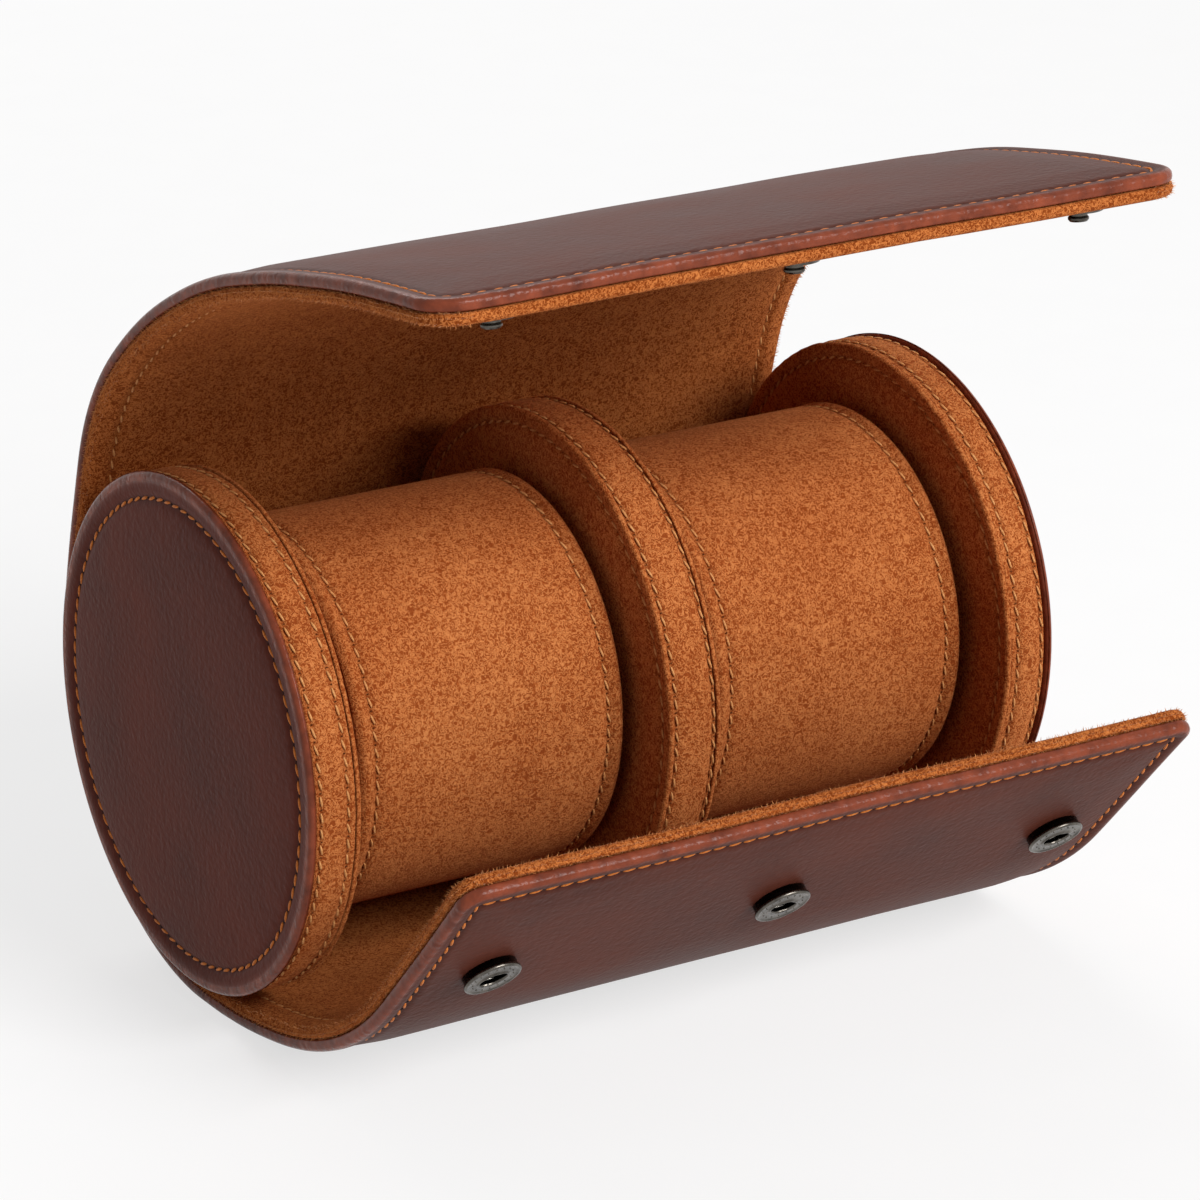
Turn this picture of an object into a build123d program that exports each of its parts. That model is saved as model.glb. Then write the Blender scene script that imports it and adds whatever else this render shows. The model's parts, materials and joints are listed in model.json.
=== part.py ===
from build123d import *
import os
from math import cos, radians, sin, tan

# Travel case for two watches: a leather and suede sheet wrapped round three discs, which
# carry two loose cushions between them. All sizes are in millimetres and all angles in
# degrees. The sheet is worked out round the common axis of the discs, which runs along X.
# The finished part stands on Z = 0, with the origin below the middle of its outline.

# Discs and compartments, along X
DISC_RADIUS = 45.0
END_DISC_WIDTH = 10.2
DIVIDER_WIDTH = 10.4
COMPARTMENT_WIDTH = 59.2
FACE_LEATHER = 1.4
FACE_DOME = 0.5
DOME_RADIUS = 38.5
PAD_THICKNESS = 0.6
SUEDE_FACE = 1.2
SUEDE_RIM = 1.2
RIM_SETBACK = 0.3
LEATHER_EDGE_ROUND = 0.6
SUEDE_EDGE_ROUND = 0.4

# The wrap, from its outer face inwards: leather, stiffening board, suede lining
LEATHER = 2.2
BOARD = 0.8
LINING = 2.0
GLUE_LINE = 0.05
WRAP_SETBACK = 3.3
BOARD_INSET = 6.0
BOARD_HINGE_INSET = 2.5
LID_CORNER = 7.0
FLAP_CORNER = 4.0

# The fixed part of the wrap hugs the discs from under them to a little above their back.
# It runs on a short way past them at the front and at the back.
BACK_HUG_ANGLE = 12.0
BACK_RISE_LENGTH = 27.0
BACK_RISE_BEND = 5.0
FRONT_RISE_LENGTH = 25.0
FRONT_RISE_BEND = 10.5
FOOT_DEPTH = 0.5

# The wrap bends all along its length. It is cut into strips that hinge on each other.
# Each strip is (length, bend built in, how far its hinge folds from rest to closed, how far
# its hinge stands open at rest). The last lets the free ends droop outwards a little.
LID_STRIPS = (
    (27.0, 29.0, 29.675, 0.0),
    (27.0, 17.0, 4.899, 0.0),
    (27.0, 14.0, 6.938, 2.0),
    (22.0, 8.0, 10.314, 3.0),
    (21.0, 4.0, 24.677, 2.0),
    (21.0, 2.0, 20.976, 0.0),
)
FLAP_STRIPS = (
    (45.0, 38.0, 26.0, 1.5),
    (19.0, 1.0, 16.0, 0.0),
    (20.0, 0.0, 20.0, 0.0),
)
FIRST_LID_BOARD = 4
FIRST_FLAP_BOARD = 2
HINGE_GAP = 0.3

# Snap fasteners
SNAP_PITCH = 55.85
SOCKET_FROM_FLAP_EDGE = 30.0
STUD_FROM_LID_EDGE = 10.0
SOCKET_DIAMETER = 10.0
SOCKET_DRUM_DIAMETER = 9.4
SOCKET_FACE = 0.7
SOCKET_FACE_BEVEL = 0.25
SOCKET_HEIGHT = 2.3
SOCKET_FLOOR = 0.4
SOCKET_CAVITY = 6.6
SOCKET_LIP = 0.5
SPRING_WIRE = 0.6
SPRING_CLEARANCE = 0.1
SPRING_ARM = 1.65
SPRING_BEND_OFFSET = 0.5
STUD_FLANGE_DIAMETER = 9.6
STUD_FLANGE_PROUD = 0.9
STUD_FLANGE_SUNK = 0.4
STUD_FLANGE_BEVEL = 0.6
PIN_DIAMETER = 3.5
PIN_NECK = 3.0
PIN_LENGTH = 1.8
PIN_BULB_STARTS = 0.45
PIN_BULB_WIDE_FROM = 0.65
PIN_BULB_WIDE_TO = 0.82
PIN_CLEARANCE = 0.4
POST_DIAMETER = 3.0
POST_HEAD = 9.0
POST_HEAD_THICKNESS = 0.6
SNAP_FIT = 0.05

# Cushions
CUSHION_RADIUS = 34.3
CUSHION_END_GAP = 2.1
CUSHION_END_CROWN = 1.8
CUSHION_BODY_CROWN = 0.4
CUSHION_SEAM_FROM_END = 3.6
CUSHION_SEAM_DEPTH = 0.6
CUSHION_SEAM_WIDTH = 1.6
COVER_THICKNESS = 1.2
CAP_THICKNESS = 1.2

# Two points closer than this along X are at the same place
SAME_PLACE = 0.01
# Three points lie straight if the triangle between them is smaller than this area
STRAIGHT = 0.01
# How far a cutter for a hole stands out of the face that it starts from
CUT_BEYOND = 1.0

WRAP = LEATHER + BOARD + LINING
OUTER_RADIUS = DISC_RADIUS + GLUE_LINE + WRAP
LENGTH = 2 * END_DISC_WIDTH + DIVIDER_WIDTH + 2 * COMPARTMENT_WIDTH
WRAP_WIDTH = LENGTH - 2 * WRAP_SETBACK
BOARD_WIDTH = WRAP_WIDTH - 2 * BOARD_INSET
LEATHER_LAYER = (0.0, LEATHER)
BOARD_LAYER = (LEATHER, LEATHER + BOARD)
LINING_LAYER = (LEATHER + BOARD, WRAP)
FELTED_LINING_LAYER = (LEATHER, WRAP)


# Points of the sheet are (y, z) pairs. The lid runs up and over from the back with its
# heading in degrees from +Y. The flap is worked out the same way and mirrored in Y.


def inward(heading):
    return (-sin(radians(heading)), cos(radians(heading)))


def along(heading):
    return (cos(radians(heading)), sin(radians(heading)))


def moved(point, direction, distance):
    return (point[0] + direction[0] * distance, point[1] + direction[1] * distance)


def advance(point, heading, length, bend):
    """Where an arc of the sheet's outer face ends, and its heading there."""
    half = radians(bend) / 2
    chord = length * (sin(half) / half if bend else 1.0)
    return moved(point, along(heading + bend / 2), chord), heading + bend


def chain(point, heading, strips):
    """Start point and heading of each strip, and of the free edge after the last one."""
    stations = []
    for length, bend, _, opening in strips:
        heading -= opening
        stations.append((point, heading))
        point, heading = advance(point, heading, length, bend)
    return [*stations, (point, heading)]


def back_rise(length=BACK_RISE_LENGTH):
    """Where the sheet has got to, this far after it leaves the discs at the back."""
    foot = moved((0.0, 0.0), along(BACK_HUG_ANGLE), OUTER_RADIUS)
    return advance(foot, BACK_HUG_ANGLE + 90, length, BACK_RISE_BEND * length / BACK_RISE_LENGTH)


def front_rise(length=FRONT_RISE_LENGTH):
    """Where the sheet has got to, this far forward of its lowest line, mirrored in Y."""
    bend = FRONT_RISE_BEND * length / FRONT_RISE_LENGTH
    return advance((0.0, -OUTER_RADIUS), 0.0, length, bend)


LID_STATIONS = chain(*back_rise(), LID_STRIPS)
FLAP_STATIONS = chain(*front_rise(), FLAP_STRIPS)
BACK_Y = OUTER_RADIUS
FRONT_Y = -FLAP_STATIONS[-1][0][0]
AXIS_Y = -(BACK_Y + FRONT_Y) / 2
AXIS_Z = OUTER_RADIUS - FOOT_DEPTH


def setback(depth, fold, board):
    """How far a layer stops short of a hinge line, which leaves room for the fold."""
    if board:
        return BOARD_HINGE_INSET
    return HINGE_GAP / 2 + depth * tan(radians(fold / 2))


def on_strip(station, strip_sizes, distance, depth):
    """A point this far along a strip and this deep under its outer face."""
    length, bend = strip_sizes[:2]
    point, heading = advance(*station, distance, bend * distance / length)
    return moved(point, inward(heading), depth)


def strip_line(strips, stations, number, depth, board):
    """Start, middle and end of one layer of a strip, at one depth."""
    sizes = strips[number - 1]
    start = setback(depth, sizes[2], board)
    if number == len(strips):
        end = sizes[0] - (BOARD_INSET if board else 0.0)
    else:
        end = sizes[0] - setback(depth, strips[number][2], board)
    places = (start, (start + end) / 2, end)
    return tuple(on_strip(stations[number - 1], sizes, place, depth) for place in places)


def curve(start, middle, end):
    """An arc through three points, or a line where they lie straight."""
    across = (end[0] - start[0]) * (middle[1] - start[1])
    across -= (end[1] - start[1]) * (middle[0] - start[0])
    if abs(across) < STRAIGHT:
        return Line(start, end)
    return ThreePointArc(start, middle, end)


def section_prism(outer_runs, inner_runs, width):
    """Close two lines of runs into a section, and draw it out along X."""
    first = outer_runs[0] @ 0
    last = outer_runs[-1] @ 1
    inner_first = inner_runs[0] @ 0
    inner_last = inner_runs[-1] @ 1
    edges = [*outer_runs, *inner_runs, Line(first, inner_first), Line(last, inner_last)]
    face = Plane.YZ * make_face(Curve() + edges)
    return extrude(face, width / 2, both=True)


def strip(strips, stations, number, layer, mirrored, board=False):
    lines = [strip_line(strips, stations, number, depth, board) for depth in layer]
    width = BOARD_WIDTH if board else WRAP_WIDTH
    solid = section_prism([curve(*lines[0])], [curve(*lines[1])], width)
    return mirror(solid, Plane.XZ) if mirrored else solid


def rounded_corners(solid, station, mirrored, radius, width=WRAP_WIDTH):
    """Round the two corners of the free edge of a flap or lid, seen from above it."""
    edge_y, edge_z = moved(station[0], inward(station[1]), WRAP / 2)
    edge_y = -edge_y if mirrored else edge_y
    for side in (-1, 1):
        corner = Vector(side * width / 2, edge_y, edge_z)
        edges = [edge for edge in solid.edges() if abs(edge.center().X - corner.X) < SAME_PLACE]
        nearest = min(edges, key=lambda edge: (edge.center() - corner).length)
        solid = fillet(nearest, radius)
    return solid


def lid_strip(number, layer):
    return strip(LID_STRIPS, LID_STATIONS, number, layer, False)


def lid_board(number):
    return strip(LID_STRIPS, LID_STATIONS, number, BOARD_LAYER, False, board=True)


def flap_strip(number, layer):
    return strip(FLAP_STRIPS, FLAP_STATIONS, number, layer, True)


def flap_board(number):
    return strip(FLAP_STRIPS, FLAP_STATIONS, number, BOARD_LAYER, True, board=True)


def on_front_rise(length, depth):
    point, heading = front_rise(length)
    point = moved(point, inward(heading), depth)
    return (-point[0], point[1])


def on_back_rise(length, depth):
    point, heading = back_rise(length)
    return moved(point, inward(heading), depth)


def shell_run(depth, board):
    """The fixed part of the wrap at one depth: up the front, under and up the back."""
    front = FRONT_RISE_LENGTH - setback(depth, FLAP_STRIPS[0][2], board)
    back = BACK_RISE_LENGTH - setback(depth, LID_STRIPS[0][2], board)
    radius = OUTER_RADIUS - depth
    halfway = moved((0.0, 0.0), along((BACK_HUG_ANGLE - 90) / 2), radius)
    bottom = on_front_rise(0.0, depth)
    leaving = on_back_rise(0.0, depth)
    return [
        ThreePointArc(on_front_rise(front, depth), on_front_rise(front / 2, depth), bottom),
        ThreePointArc(bottom, halfway, leaving),
        ThreePointArc(leaving, on_back_rise(back / 2, depth), on_back_rise(back, depth)),
    ]


def shell_layer(layer, board=False):
    """A layer of the fixed part, from the flap's first hinge round to the lid's."""
    outer, inner = (shell_run(depth, board) for depth in layer)
    return section_prism(outer, inner, BOARD_WIDTH if board else WRAP_WIDTH)


def shell_leather():
    foot = Pos(0, 0, -OUTER_RADIUS) * Box(LENGTH, DISC_RADIUS, 2 * FOOT_DEPTH)
    return shell_layer(LEATHER_LAYER) - foot


# Snap fasteners. Each piece is drawn with its Z along the snap's own axis, pointing out
# of the sheet, and is then set in place three times.


def snap_places(plane):
    return [Pos(step * SNAP_PITCH, 0, 0) * plane.location for step in (-1, 0, 1)]


def socket_plane():
    """On the outer face of the flap, at its snap line, looking out."""
    from_edge = SOCKET_FROM_FLAP_EDGE - FLAP_STRIPS[-1][0]
    length, bend = FLAP_STRIPS[-2][:2]
    share = (length - from_edge) / length
    point, heading = advance(*FLAP_STATIONS[-3], length * share, bend * share)
    normal = inward(heading)
    return Plane(origin=(0, -point[0], point[1]), x_dir=(1, 0, 0), z_dir=(0, normal[0], -normal[1]))


def stud_plane():
    """On the lining of the lid's last strip, looking in."""
    length, bend = LID_STRIPS[-1][:2]
    share = (length - STUD_FROM_LID_EDGE) / length
    point, heading = advance(*LID_STATIONS[-2], length * share, bend * share)
    normal = inward(heading)
    point = moved(point, normal, WRAP)
    return Plane(origin=(0, *point), x_dir=(1, 0, 0), z_dir=(0, *normal))


def disc(radius, low, high):
    return Pos(0, 0, low) * extrude(Circle(radius), high - low)


def turned(points):
    """A solid turned about Z from its half outline, given as (radius, z) points."""
    return revolve(Plane.XZ * make_face(Polyline(*points, close=True)), Axis.Z)


def socket():
    """A drum with a cavity for the spring, under a wider face with bevelled edges."""
    bore = PIN_DIAMETER / 2 + PIN_CLEARANCE
    post = POST_DIAMETER / 2
    rim = SOCKET_DIAMETER / 2
    drum_wall = SOCKET_DRUM_DIAMETER / 2
    ceiling = SOCKET_HEIGHT - SOCKET_LIP
    face_low = SOCKET_HEIGHT - SOCKET_FACE
    points = [
        (post, 0),
        (drum_wall, 0),
        (drum_wall, face_low),
        (rim - SOCKET_FACE_BEVEL, face_low),
        (rim, face_low + SOCKET_FACE_BEVEL),
        (rim, SOCKET_HEIGHT - SOCKET_FACE_BEVEL),
        (rim - SOCKET_FACE_BEVEL, SOCKET_HEIGHT),
        (bore, SOCKET_HEIGHT),
        (bore, ceiling),
        (SOCKET_CAVITY / 2, ceiling),
        (SOCKET_CAVITY / 2, SOCKET_FLOOR),
        (post, SOCKET_FLOOR),
    ]
    return turned(points)


def socket_spring():
    """A bent wire in the socket's cavity, with one arm each side of the bore."""
    reach = PIN_DIAMETER / 2 + SPRING_CLEARANCE + SPRING_WIRE / 2
    height = (SOCKET_FLOOR + SOCKET_HEIGHT - SOCKET_LIP) / 2
    bend = -SPRING_BEND_OFFSET
    path = Line((SPRING_ARM, reach), (bend, reach))
    path += ThreePointArc((bend, reach), (bend - reach, 0), (bend, -reach))
    path += Line((bend, -reach), (SPRING_ARM, -reach))
    end = Plane(origin=(SPRING_ARM, reach, 0), z_dir=(-1, 0, 0))
    wire = sweep(end * Circle(SPRING_WIRE / 2), path=path)
    return Pos(0, 0, height) * wire


def socket_post():
    """A blind rivet: its head lies under the lining and its shank ends in the socket."""
    head_top = -(LEATHER + BOARD)
    head = disc(POST_HEAD / 2, head_top - POST_HEAD_THICKNESS, head_top)
    return head + disc(POST_DIAMETER / 2, head_top, SOCKET_FLOOR)


def stud():
    flange = STUD_FLANGE_DIAMETER / 2
    top = STUD_FLANGE_PROUD
    tip = top + PIN_LENGTH
    points = [
        (0, -STUD_FLANGE_SUNK),
        (flange, -STUD_FLANGE_SUNK),
        (flange, 0),
        (flange - STUD_FLANGE_BEVEL, top),
        (PIN_NECK / 2, top),
        (PIN_NECK / 2, top + PIN_BULB_STARTS * PIN_LENGTH),
        (PIN_DIAMETER / 2, top + PIN_BULB_WIDE_FROM * PIN_LENGTH),
        (PIN_DIAMETER / 2, top + PIN_BULB_WIDE_TO * PIN_LENGTH),
        (PIN_NECK / 2, tip),
        (0, tip),
    ]
    return turned(points)


def stud_post():
    """A blind rivet: its head lies under the lid's leather and its shank meets the stud."""
    head_low = -(LINING + BOARD)
    head = disc(POST_HEAD / 2, head_low - POST_HEAD_THICKNESS, head_low)
    return head + disc(POST_DIAMETER / 2, head_low, -STUD_FLANGE_SUNK)


def set_of_snaps(piece, plane):
    return Compound([place * piece for place in snap_places(plane)])


def bored(sheet, cutter, plane):
    for place in snap_places(plane):
        sheet -= place * cutter
    return sheet


def flap_snap_holes():
    """Through the leather and board, and a pocket for the rivet head in the lining."""
    head_top = -(LEATHER + BOARD)
    pocket = disc(POST_HEAD / 2 + SNAP_FIT, head_top - POST_HEAD_THICKNESS, head_top)
    return disc(POST_DIAMETER / 2 + SNAP_FIT, head_top, CUT_BEYOND) + pocket


def lid_snap_holes():
    """A seat for the stud, a shank hole, and a pocket for the rivet head in the leather."""
    head_low = -(LINING + BOARD)
    seat = disc(STUD_FLANGE_DIAMETER / 2 + SNAP_FIT, -STUD_FLANGE_SUNK, CUT_BEYOND)
    pocket = disc(POST_HEAD / 2 + SNAP_FIT, head_low - POST_HEAD_THICKNESS, head_low)
    return seat + disc(POST_DIAMETER / 2 + SNAP_FIT, head_low, 0) + pocket


# The wrap, strip by strip


def lid_pieces():
    holes = lid_snap_holes()
    pieces = {}
    last = len(LID_STRIPS)
    for number in range(1, last + 1):
        boarded = number >= FIRST_LID_BOARD
        leather = lid_strip(number, LEATHER_LAYER)
        lining = lid_strip(number, LINING_LAYER if boarded else FELTED_LINING_LAYER)
        if boarded:
            pieces[f"lid_board_{number}"] = lid_board(number)
        if number == last:
            leather = rounded_corners(leather, LID_STATIONS[-1], False, LID_CORNER)
            lining = rounded_corners(lining, LID_STATIONS[-1], False, LID_CORNER)
            leather = bored(leather, holes, stud_plane())
            lining = bored(lining, holes, stud_plane())
            pieces[f"lid_board_{number}"] = bored(lid_board(number), holes, stud_plane())
        pieces[f"lid_leather_{number}"] = leather
        pieces[f"lid_lining_{number}"] = lining
    return pieces


def flap_pieces():
    holes = flap_snap_holes()
    pieces = {}
    last = len(FLAP_STRIPS)
    for number in range(1, last + 1):
        boarded = number >= FIRST_FLAP_BOARD
        leather = flap_strip(number, LEATHER_LAYER)
        lining = flap_strip(number, LINING_LAYER if boarded else FELTED_LINING_LAYER)
        if boarded:
            pieces[f"flap_board_{number}"] = flap_board(number)
        if number == last - 1:
            leather = bored(leather, holes, socket_plane())
            lining = bored(lining, holes, socket_plane())
            pieces[f"flap_board_{number}"] = bored(flap_board(number), holes, socket_plane())
        if number == last:
            leather = rounded_corners(leather, FLAP_STATIONS[-1], True, FLAP_CORNER)
            lining = rounded_corners(lining, FLAP_STATIONS[-1], True, FLAP_CORNER)
        pieces[f"flap_leather_{number}"] = leather
        pieces[f"flap_lining_{number}"] = lining
    return pieces


def shell_pieces():
    return {
        "shell_leather": shell_leather(),
        "shell_board": shell_layer(BOARD_LAYER, board=True),
        "shell_lining": shell_layer(LINING_LAYER),
    }


# Discs. Each is turned about X. The left end disc starts at x = 0 with its outside to
# the left, and is then moved or mirrored into place.


def turned_about_x(runs):
    return revolve(Plane.XY * make_face(Curve() + runs), Axis.X)


def drum(inner, outer, low, high, round_edges=0.0):
    """A disc or a band about X, with its outer edges rounded."""
    solid = Rot(0, 90, 0) * extrude(Circle(outer), high - low)
    if inner:
        solid -= Rot(0, 90, 0) * extrude(Circle(inner), high - low)
    if round_edges:
        rims = solid.edges().filter_by(GeomType.CIRCLE).sort_by(SortBy.RADIUS)[-2:]
        solid = fillet(rims, round_edges)
    return Pos(low, 0, 0) * solid


def dome_line(x_edge, x_middle):
    """The arc of a shallow dome from its rim to its middle, in the (x, radius) plane."""
    rise = x_edge - x_middle
    ball = (DOME_RADIUS**2 + rise**2) / (2 * rise)
    halfway = DOME_RADIUS / 2
    drop = ball - (ball**2 - halfway**2) ** 0.5
    return ThreePointArc((x_edge, DOME_RADIUS), (x_middle + drop, halfway), (x_middle, 0))


def end_leather_face():
    """Flat round its edge, and swelling over the pad inside the stitch line."""
    front = FACE_DOME
    back = FACE_DOME + FACE_LEATHER
    edge = LEATHER_EDGE_ROUND
    outer_dome = dome_line(front, 0.0)
    inner_dome = dome_line(back, back - PAD_THICKNESS)
    runs = [
        outer_dome,
        Line((0, 0), (back - PAD_THICKNESS, 0)),
        inner_dome,
        Line((back, DOME_RADIUS), (back, DISC_RADIUS - edge)),
        RadiusArc((back, DISC_RADIUS - edge), (back - edge, DISC_RADIUS), -edge),
        Line((back - edge, DISC_RADIUS), (front + edge, DISC_RADIUS)),
        RadiusArc((front + edge, DISC_RADIUS), (front, DISC_RADIUS - edge), -edge),
        Line((front, DISC_RADIUS - edge), (front, DOME_RADIUS)),
    ]
    return turned_about_x(runs)


def end_foam_pad():
    back = FACE_DOME + FACE_LEATHER
    runs = [
        dome_line(back, back - PAD_THICKNESS),
        Line((back - PAD_THICKNESS, 0), (back, 0)),
        Line((back, 0), (back, DOME_RADIUS)),
    ]
    return turned_about_x(runs)


def end_disc():
    """The five pieces of an end disc, with its outside facing -X from x = 0."""
    back = FACE_DOME + FACE_LEATHER
    inner = END_DISC_WIDTH - SUEDE_FACE
    rim = DISC_RADIUS - RIM_SETBACK
    core = rim - SUEDE_RIM
    return {
        "leather_face": end_leather_face(),
        "foam_pad": end_foam_pad(),
        "board_core": drum(0, core, back, inner),
        "suede_rim": drum(core, rim, back, inner),
        "suede_face": drum(0, rim, inner, END_DISC_WIDTH, SUEDE_EDGE_ROUND),
    }


def end_disc_pieces():
    left = Pos(-LENGTH / 2, 0, 0)
    pieces = {}
    for name, solid in end_disc().items():
        placed = left * solid
        pieces[f"left_end_{name}"] = placed
        pieces[f"right_end_{name}"] = mirror(placed, Plane.YZ)
    return pieces


def divider_pieces():
    half = DIVIDER_WIDTH / 2
    core_half = half - SUEDE_FACE
    rim = DISC_RADIUS - RIM_SETBACK
    face = drum(0, rim, -half, -core_half, SUEDE_EDGE_ROUND)
    return {
        "divider_board_core": drum(0, rim - SUEDE_RIM, -core_half, core_half),
        "divider_suede_rim": drum(rim - SUEDE_RIM, rim, -core_half, core_half),
        "divider_left_face": face,
        "divider_right_face": mirror(face, Plane.YZ),
    }


# Cushions. One is drawn about x = 0 and set into each compartment.


def cushion_side(radius, half, seam_depth):
    """Half of the side outline: crowned between the seams, drawn in at each seam."""
    seam = half - CUSHION_SEAM_FROM_END
    near = seam - CUSHION_SEAM_WIDTH / 2
    far = seam + CUSHION_SEAM_WIDTH / 2
    top = radius + CUSHION_BODY_CROWN
    return [
        ThreePointArc((-near, radius), (0, top), (near, radius)),
        ThreePointArc((near, radius), (seam, radius - seam_depth), (far, radius)),
        ThreePointArc((-far, radius), (-seam, radius - seam_depth), (-near, radius)),
        Line((far, radius), (half, radius)),
        Line((-half, radius), (-far, radius)),
    ]


def cushion_half_length():
    return COMPARTMENT_WIDTH / 2 - CUSHION_END_GAP


def cushion_cover():
    """The suede sleeve round the cushion."""
    half = cushion_half_length()
    inner = CUSHION_RADIUS - COVER_THICKNESS
    runs = cushion_side(CUSHION_RADIUS, half, CUSHION_SEAM_DEPTH)
    runs += [
        Line((half, CUSHION_RADIUS), (half, inner)),
        Line((half, inner), (-half, inner)),
        Line((-half, inner), (-half, CUSHION_RADIUS)),
    ]
    return turned_about_x(runs)


def cushion_core():
    half = cushion_half_length()
    return drum(0, CUSHION_RADIUS - COVER_THICKNESS, -half + CAP_THICKNESS, half - CAP_THICKNESS)


def cushion_cap():
    """The crowned suede end at +X, sewn inside the end of the sleeve."""
    half = cushion_half_length()
    rim = CUSHION_RADIUS - COVER_THICKNESS
    rise = CUSHION_END_CROWN
    ball = (rim**2 + rise**2) / (2 * rise)
    halfway = rim / 2
    drop = ball - (ball**2 - halfway**2) ** 0.5
    runs = [
        Line((half - CAP_THICKNESS, 0), (half - CAP_THICKNESS, rim)),
        Line((half - CAP_THICKNESS, rim), (half, rim)),
        ThreePointArc((half, rim), (half + rise - drop, halfway), (half + rise, 0)),
        Line((half + rise, 0), (half - CAP_THICKNESS, 0)),
    ]
    return turned_about_x(runs)


def cushion_pieces():
    centre = (DIVIDER_WIDTH + COMPARTMENT_WIDTH) / 2
    cap = cushion_cap()
    parts = {
        "core": cushion_core(),
        "cover": cushion_cover(),
        "end_caps": Compound([cap, mirror(cap, Plane.YZ)]),
    }
    pieces = {}
    for side, x in (("left", -centre), ("right", centre)):
        for name, solid in parts.items():
            pieces[f"{side}_cushion_{name}"] = Pos(x, 0, 0) * solid
    return pieces


def snap_pieces():
    return {
        "snap_sockets": set_of_snaps(socket(), socket_plane()),
        "snap_springs": set_of_snaps(socket_spring(), socket_plane()),
        "snap_socket_posts": set_of_snaps(socket_post(), socket_plane()),
        "snap_studs": set_of_snaps(stud(), stud_plane()),
        "snap_stud_posts": set_of_snaps(stud_post(), stud_plane()),
    }


def all_pieces():
    pieces = shell_pieces()
    pieces |= lid_pieces()
    pieces |= flap_pieces()
    pieces |= end_disc_pieces()
    pieces |= divider_pieces()
    pieces |= cushion_pieces()
    pieces |= snap_pieces()
    return {name: Pos(0, AXIS_Y, AXIS_Z) * solid for name, solid in pieces.items()}


def main():
    os.makedirs("parts", exist_ok=True)
    for name, solid in all_pieces().items():
        export_step(solid, f"parts/{name}.step")
    print("disc axis at y", round(AXIS_Y, 3), "z", round(AXIS_Z, 3))


main()
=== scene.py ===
# %% [markdown]
# # A travel case for two watches
#
# The object is a roll case: a leather sheet lined with suede (the wrap) goes round three
# discs, and two suede cushions sit between the discs. The lid of the wrap comes over the
# top and three snap fasteners hold it to the front flap. The case is shown open.
#
# The solids of the imported part say where everything is and how it moves. This file loads
# them first, and then dresses each of them. The lines below load them, and give the box
# that any one solid fills. The dressed case has to stay inside it.

# %% Load the frame
import json
from collections import namedtuple
from math import cos, exp, hypot, pi, radians, sin, sqrt
import bmesh
import bpy
import numpy as np
from mathutils import Matrix, Vector, noise
from mathutils.bvhtree import BVHTree

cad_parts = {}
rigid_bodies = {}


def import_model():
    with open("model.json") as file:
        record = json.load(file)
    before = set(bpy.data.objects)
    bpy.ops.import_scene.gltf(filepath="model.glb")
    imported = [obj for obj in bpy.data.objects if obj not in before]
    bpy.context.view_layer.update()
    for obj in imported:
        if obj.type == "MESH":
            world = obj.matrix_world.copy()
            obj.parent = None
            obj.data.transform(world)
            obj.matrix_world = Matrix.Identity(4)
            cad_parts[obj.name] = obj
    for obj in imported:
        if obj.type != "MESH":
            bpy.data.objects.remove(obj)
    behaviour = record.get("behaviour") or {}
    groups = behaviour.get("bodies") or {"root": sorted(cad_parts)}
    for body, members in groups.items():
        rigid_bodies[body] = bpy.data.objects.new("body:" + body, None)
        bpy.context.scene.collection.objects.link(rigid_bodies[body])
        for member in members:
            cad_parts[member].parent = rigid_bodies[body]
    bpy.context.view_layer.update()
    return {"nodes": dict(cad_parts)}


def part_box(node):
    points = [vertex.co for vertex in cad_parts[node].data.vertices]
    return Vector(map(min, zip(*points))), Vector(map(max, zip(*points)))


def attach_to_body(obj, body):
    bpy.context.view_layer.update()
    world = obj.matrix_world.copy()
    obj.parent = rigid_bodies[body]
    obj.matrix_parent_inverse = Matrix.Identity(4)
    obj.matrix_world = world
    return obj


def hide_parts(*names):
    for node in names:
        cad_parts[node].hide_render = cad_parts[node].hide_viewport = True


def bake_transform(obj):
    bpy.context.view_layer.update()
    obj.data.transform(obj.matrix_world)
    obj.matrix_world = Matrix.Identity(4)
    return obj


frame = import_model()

MM = 0.001

# %% [markdown]
# ## Helpers for nodes and objects
#
# Colours are written as the hex values that a paint chart gives. Blender's shaders want
# linear light, so one function converts them. One more function adds a node, sets its
# settings and its sockets, and links a socket where it is given another node or socket.
# The short ones stand for nodes that come up again and again. The last one puts finished
# data into the scene, at the origin.

# %% Colours, nodes and objects


def colour(code):
    """Linear RGBA for an sRGB hex code."""
    values = [int(code[i:i + 2], 16) / 255 for i in (1, 3, 5)]
    linear = [v / 12.92 if v <= 0.04045 else ((v + 0.055) / 1.055) ** 2.4 for v in values]
    return (*linear, 1.0)


def add(tree, kind, inputs=None, **settings):
    """Add a node with its settings, and set its sockets or link them to a node or a socket."""
    made = tree.nodes.new(kind)
    for key, value in settings.items():
        setattr(made, key, value)
    for key, value in (inputs or {}).items():
        if isinstance(value, bpy.types.Node):
            value = next(socket for socket in value.outputs if socket.enabled)
        if isinstance(value, bpy.types.NodeSocket):
            tree.links.new(value, made.inputs[key])
        else:
            made.inputs[key].default_value = value
    return made


def maths(tree, operation, first, second=0.0):
    return add(tree, "ShaderNodeMath", {0: first, 1: second}, operation=operation)


def cloud(tree, place, size, detail, **sockets):
    """A noise texture with spots of about this size."""
    return add(tree, "ShaderNodeTexNoise", {"Vector": place, "Scale": 1 / size, "Detail": detail, **sockets})


def mixed(tree, share, first, second, kind="FLOAT"):
    return add(tree, "ShaderNodeMix", {"Factor": share, "A": first, "B": second}, data_type=kind)


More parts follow.
